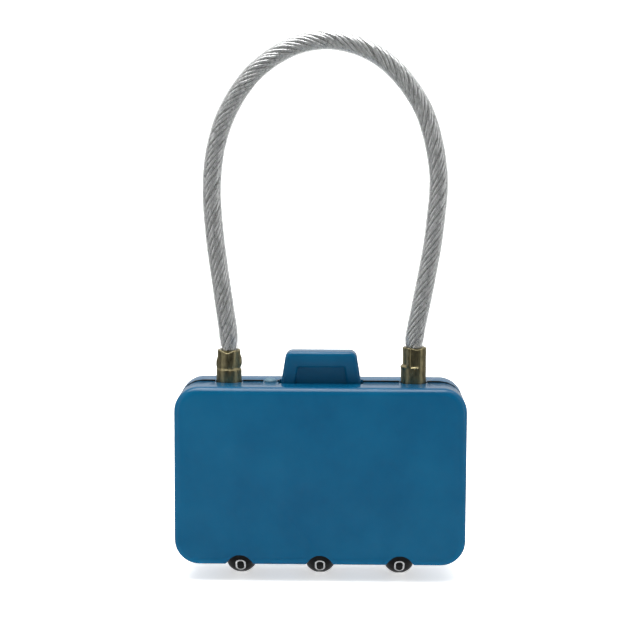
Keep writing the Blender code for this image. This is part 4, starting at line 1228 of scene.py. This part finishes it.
# %% [markdown]
# ## Digits on the wheels
# A stroke becomes a thin round bead. Its points are laid across the crown and round it, and
# sunk by more than half, so that the bead stands up like a raised and painted digit. All the
# digits of a wheel turn with it, so they ride on the dial's own body.

# %% Bend the digits onto the wheels
DIGIT_WIDE = 1.22 * MM
DIGIT_HALF_HEIGHT = 1.17 * MM
BEAD, BEAD_SIDES = 0.15 * MM, 6
BEAD_SINK = 0.09 * MM
STROKE_STEP = 0.12 * MM


def bead_points(stroke):
    """A stroke in millimetres, cut into short steps: across the wheel, and up it."""
    flat = [(px * DIGIT_WIDE, py * DIGIT_HALF_HEIGHT) for px, py in stroke]
    out = [flat[0]]
    for (x0, y0), (x1, y1) in zip(flat, flat[1:]):
        count = max(1, math.ceil(math.hypot(x1 - x0, y1 - y0) / STROKE_STEP))
        out += [(x0 + (x1 - x0) * k / count, y0 + (y1 - y0) * k / count)
                for k in range(1, count + 1)]
    return out


def on_crown(across, up, digit, x):
    """A place on a wheel's crown, with its outward direction."""
    angle = SHOWN_DIGIT + 2 * math.pi * digit / PLACES + up / DIAL_RADIUS
    out = Vector((math.cos(angle), -math.sin(angle), 0))
    lean = across / CROWN_CIRCLE
    radius = crown_radius(across) - BEAD_SINK
    spot = laid(Vector((out.x * radius, out.y * radius, across)), x)
    tip = laid(Vector((out.x * (radius + 1), out.y * (radius + 1), across + lean)), x)
    return spot, (tip - spot).normalized()


for i, x in enumerate(DIAL_PLACES, 1):
    work = bmesh.new()
    for digit, strokes in DIGITS.items():
        for stroke in strokes:
            spots = [on_crown(a, u, digit, x) for a, u in bead_points(stroke)]
            points, outward = [s for s, _ in spots], [o for _, o in spots]
            joined_rings(work, tube_rings(points, BEAD, BEAD_SIDES, outward))
    digits = shown(f"wheel_digits_{i}", work, DIGIT_PAINT, f"dial_{i}", sharp=70)
print("digits:", len(digits.data.polygons), "faces each")

# %% [markdown]
# ## The reset pin
# A small sprung pin with a domed end stands beside the handle. It is turned like the
# ferrules, with a finer dome, a collar that stops it inside the case and a slim stem.

# %% Turn the pin
pin_low, pin_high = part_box("reset_button")
PIN_RADIUS, PIN_DOME = 0.95 * MM, 0.5 * MM
PIN_SIDES, DOME_STEPS = 48, 12
COLLAR_TOP, COLLAR_LOW = 26.1 * MM, 24.9 * MM
COLLAR_RADIUS = pin_high.x - RESET_X
STEM_RADIUS = PIN_RADIUS / 2
dome = [(PIN_RADIUS * math.sin(a), pin_high.z - PIN_DOME * (1 - math.cos(a)))
        for a in (math.radians(3 + 87 * k / DOME_STEPS) for k in range(DOME_STEPS + 1))]
pin_profile = [*dome, (PIN_RADIUS, COLLAR_TOP), (COLLAR_RADIUS, COLLAR_TOP),
               (COLLAR_RADIUS, COLLAR_LOW), (STEM_RADIUS, COLLAR_LOW), (STEM_RADIUS, pin_low.z),
               (0.1 * MM, pin_low.z)]
work = bmesh.new()
joined_rings(work, turned_rings(pin_profile, PIN_SIDES))
bmesh.ops.translate(work, vec=(RESET_X, 0, 0), verts=work.verts)
pin = shown("reset_pin", work, PIN_PLASTIC, "reset")
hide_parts("reset_button")
print("reset pin:", len(pin.data.polygons), "faces")

# %% [markdown]
# ## Finishes for the working parts
# The chassis, springs, cams and pins keep their shapes from the frame. Each takes the finish
# that belongs to its slot, so nothing is left in one flat colour, even where only a glimpse
# through a notch shows it.

# %% Give every carried-over node its finish
BY_SLOT = {
    "painted_zinc": ENAMEL, "moulded_nylon": NYLON, "dial_plastic": ACETAL,
    "reset_plastic": PIN_PLASTIC, "bright_steel": TURNED, "spring_steel": SPRUNG,
    "plated_ferrule": PLATED, "cam_brass": CAM_BRASS, "rope_steel": GALVANISED,
    "clear_coat": PVC,
}
for part in nodes.values():
    for place in part.material_slots:
        place.material = BY_SLOT[place.material.name.split(".")[0]]
print("finished", len(nodes), "nodes")

# %% [markdown]
# ## Sizes and the last step
# The box of what is seen is measured again, next to the box of the working parts. The two
# differ only by the fine shapes, so a difference of more than a fraction of a millimetre
# would mean that a piece has landed in the wrong place.

# %% Write the sizes and finish
seen_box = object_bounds()
cad_size, seen_size = cad_box[1] - cad_box[0], seen_box[1] - seen_box[0]
print("size grew by", [round((seen - cad) / MM, 2) for cad, seen in zip(cad_size, seen_size)])
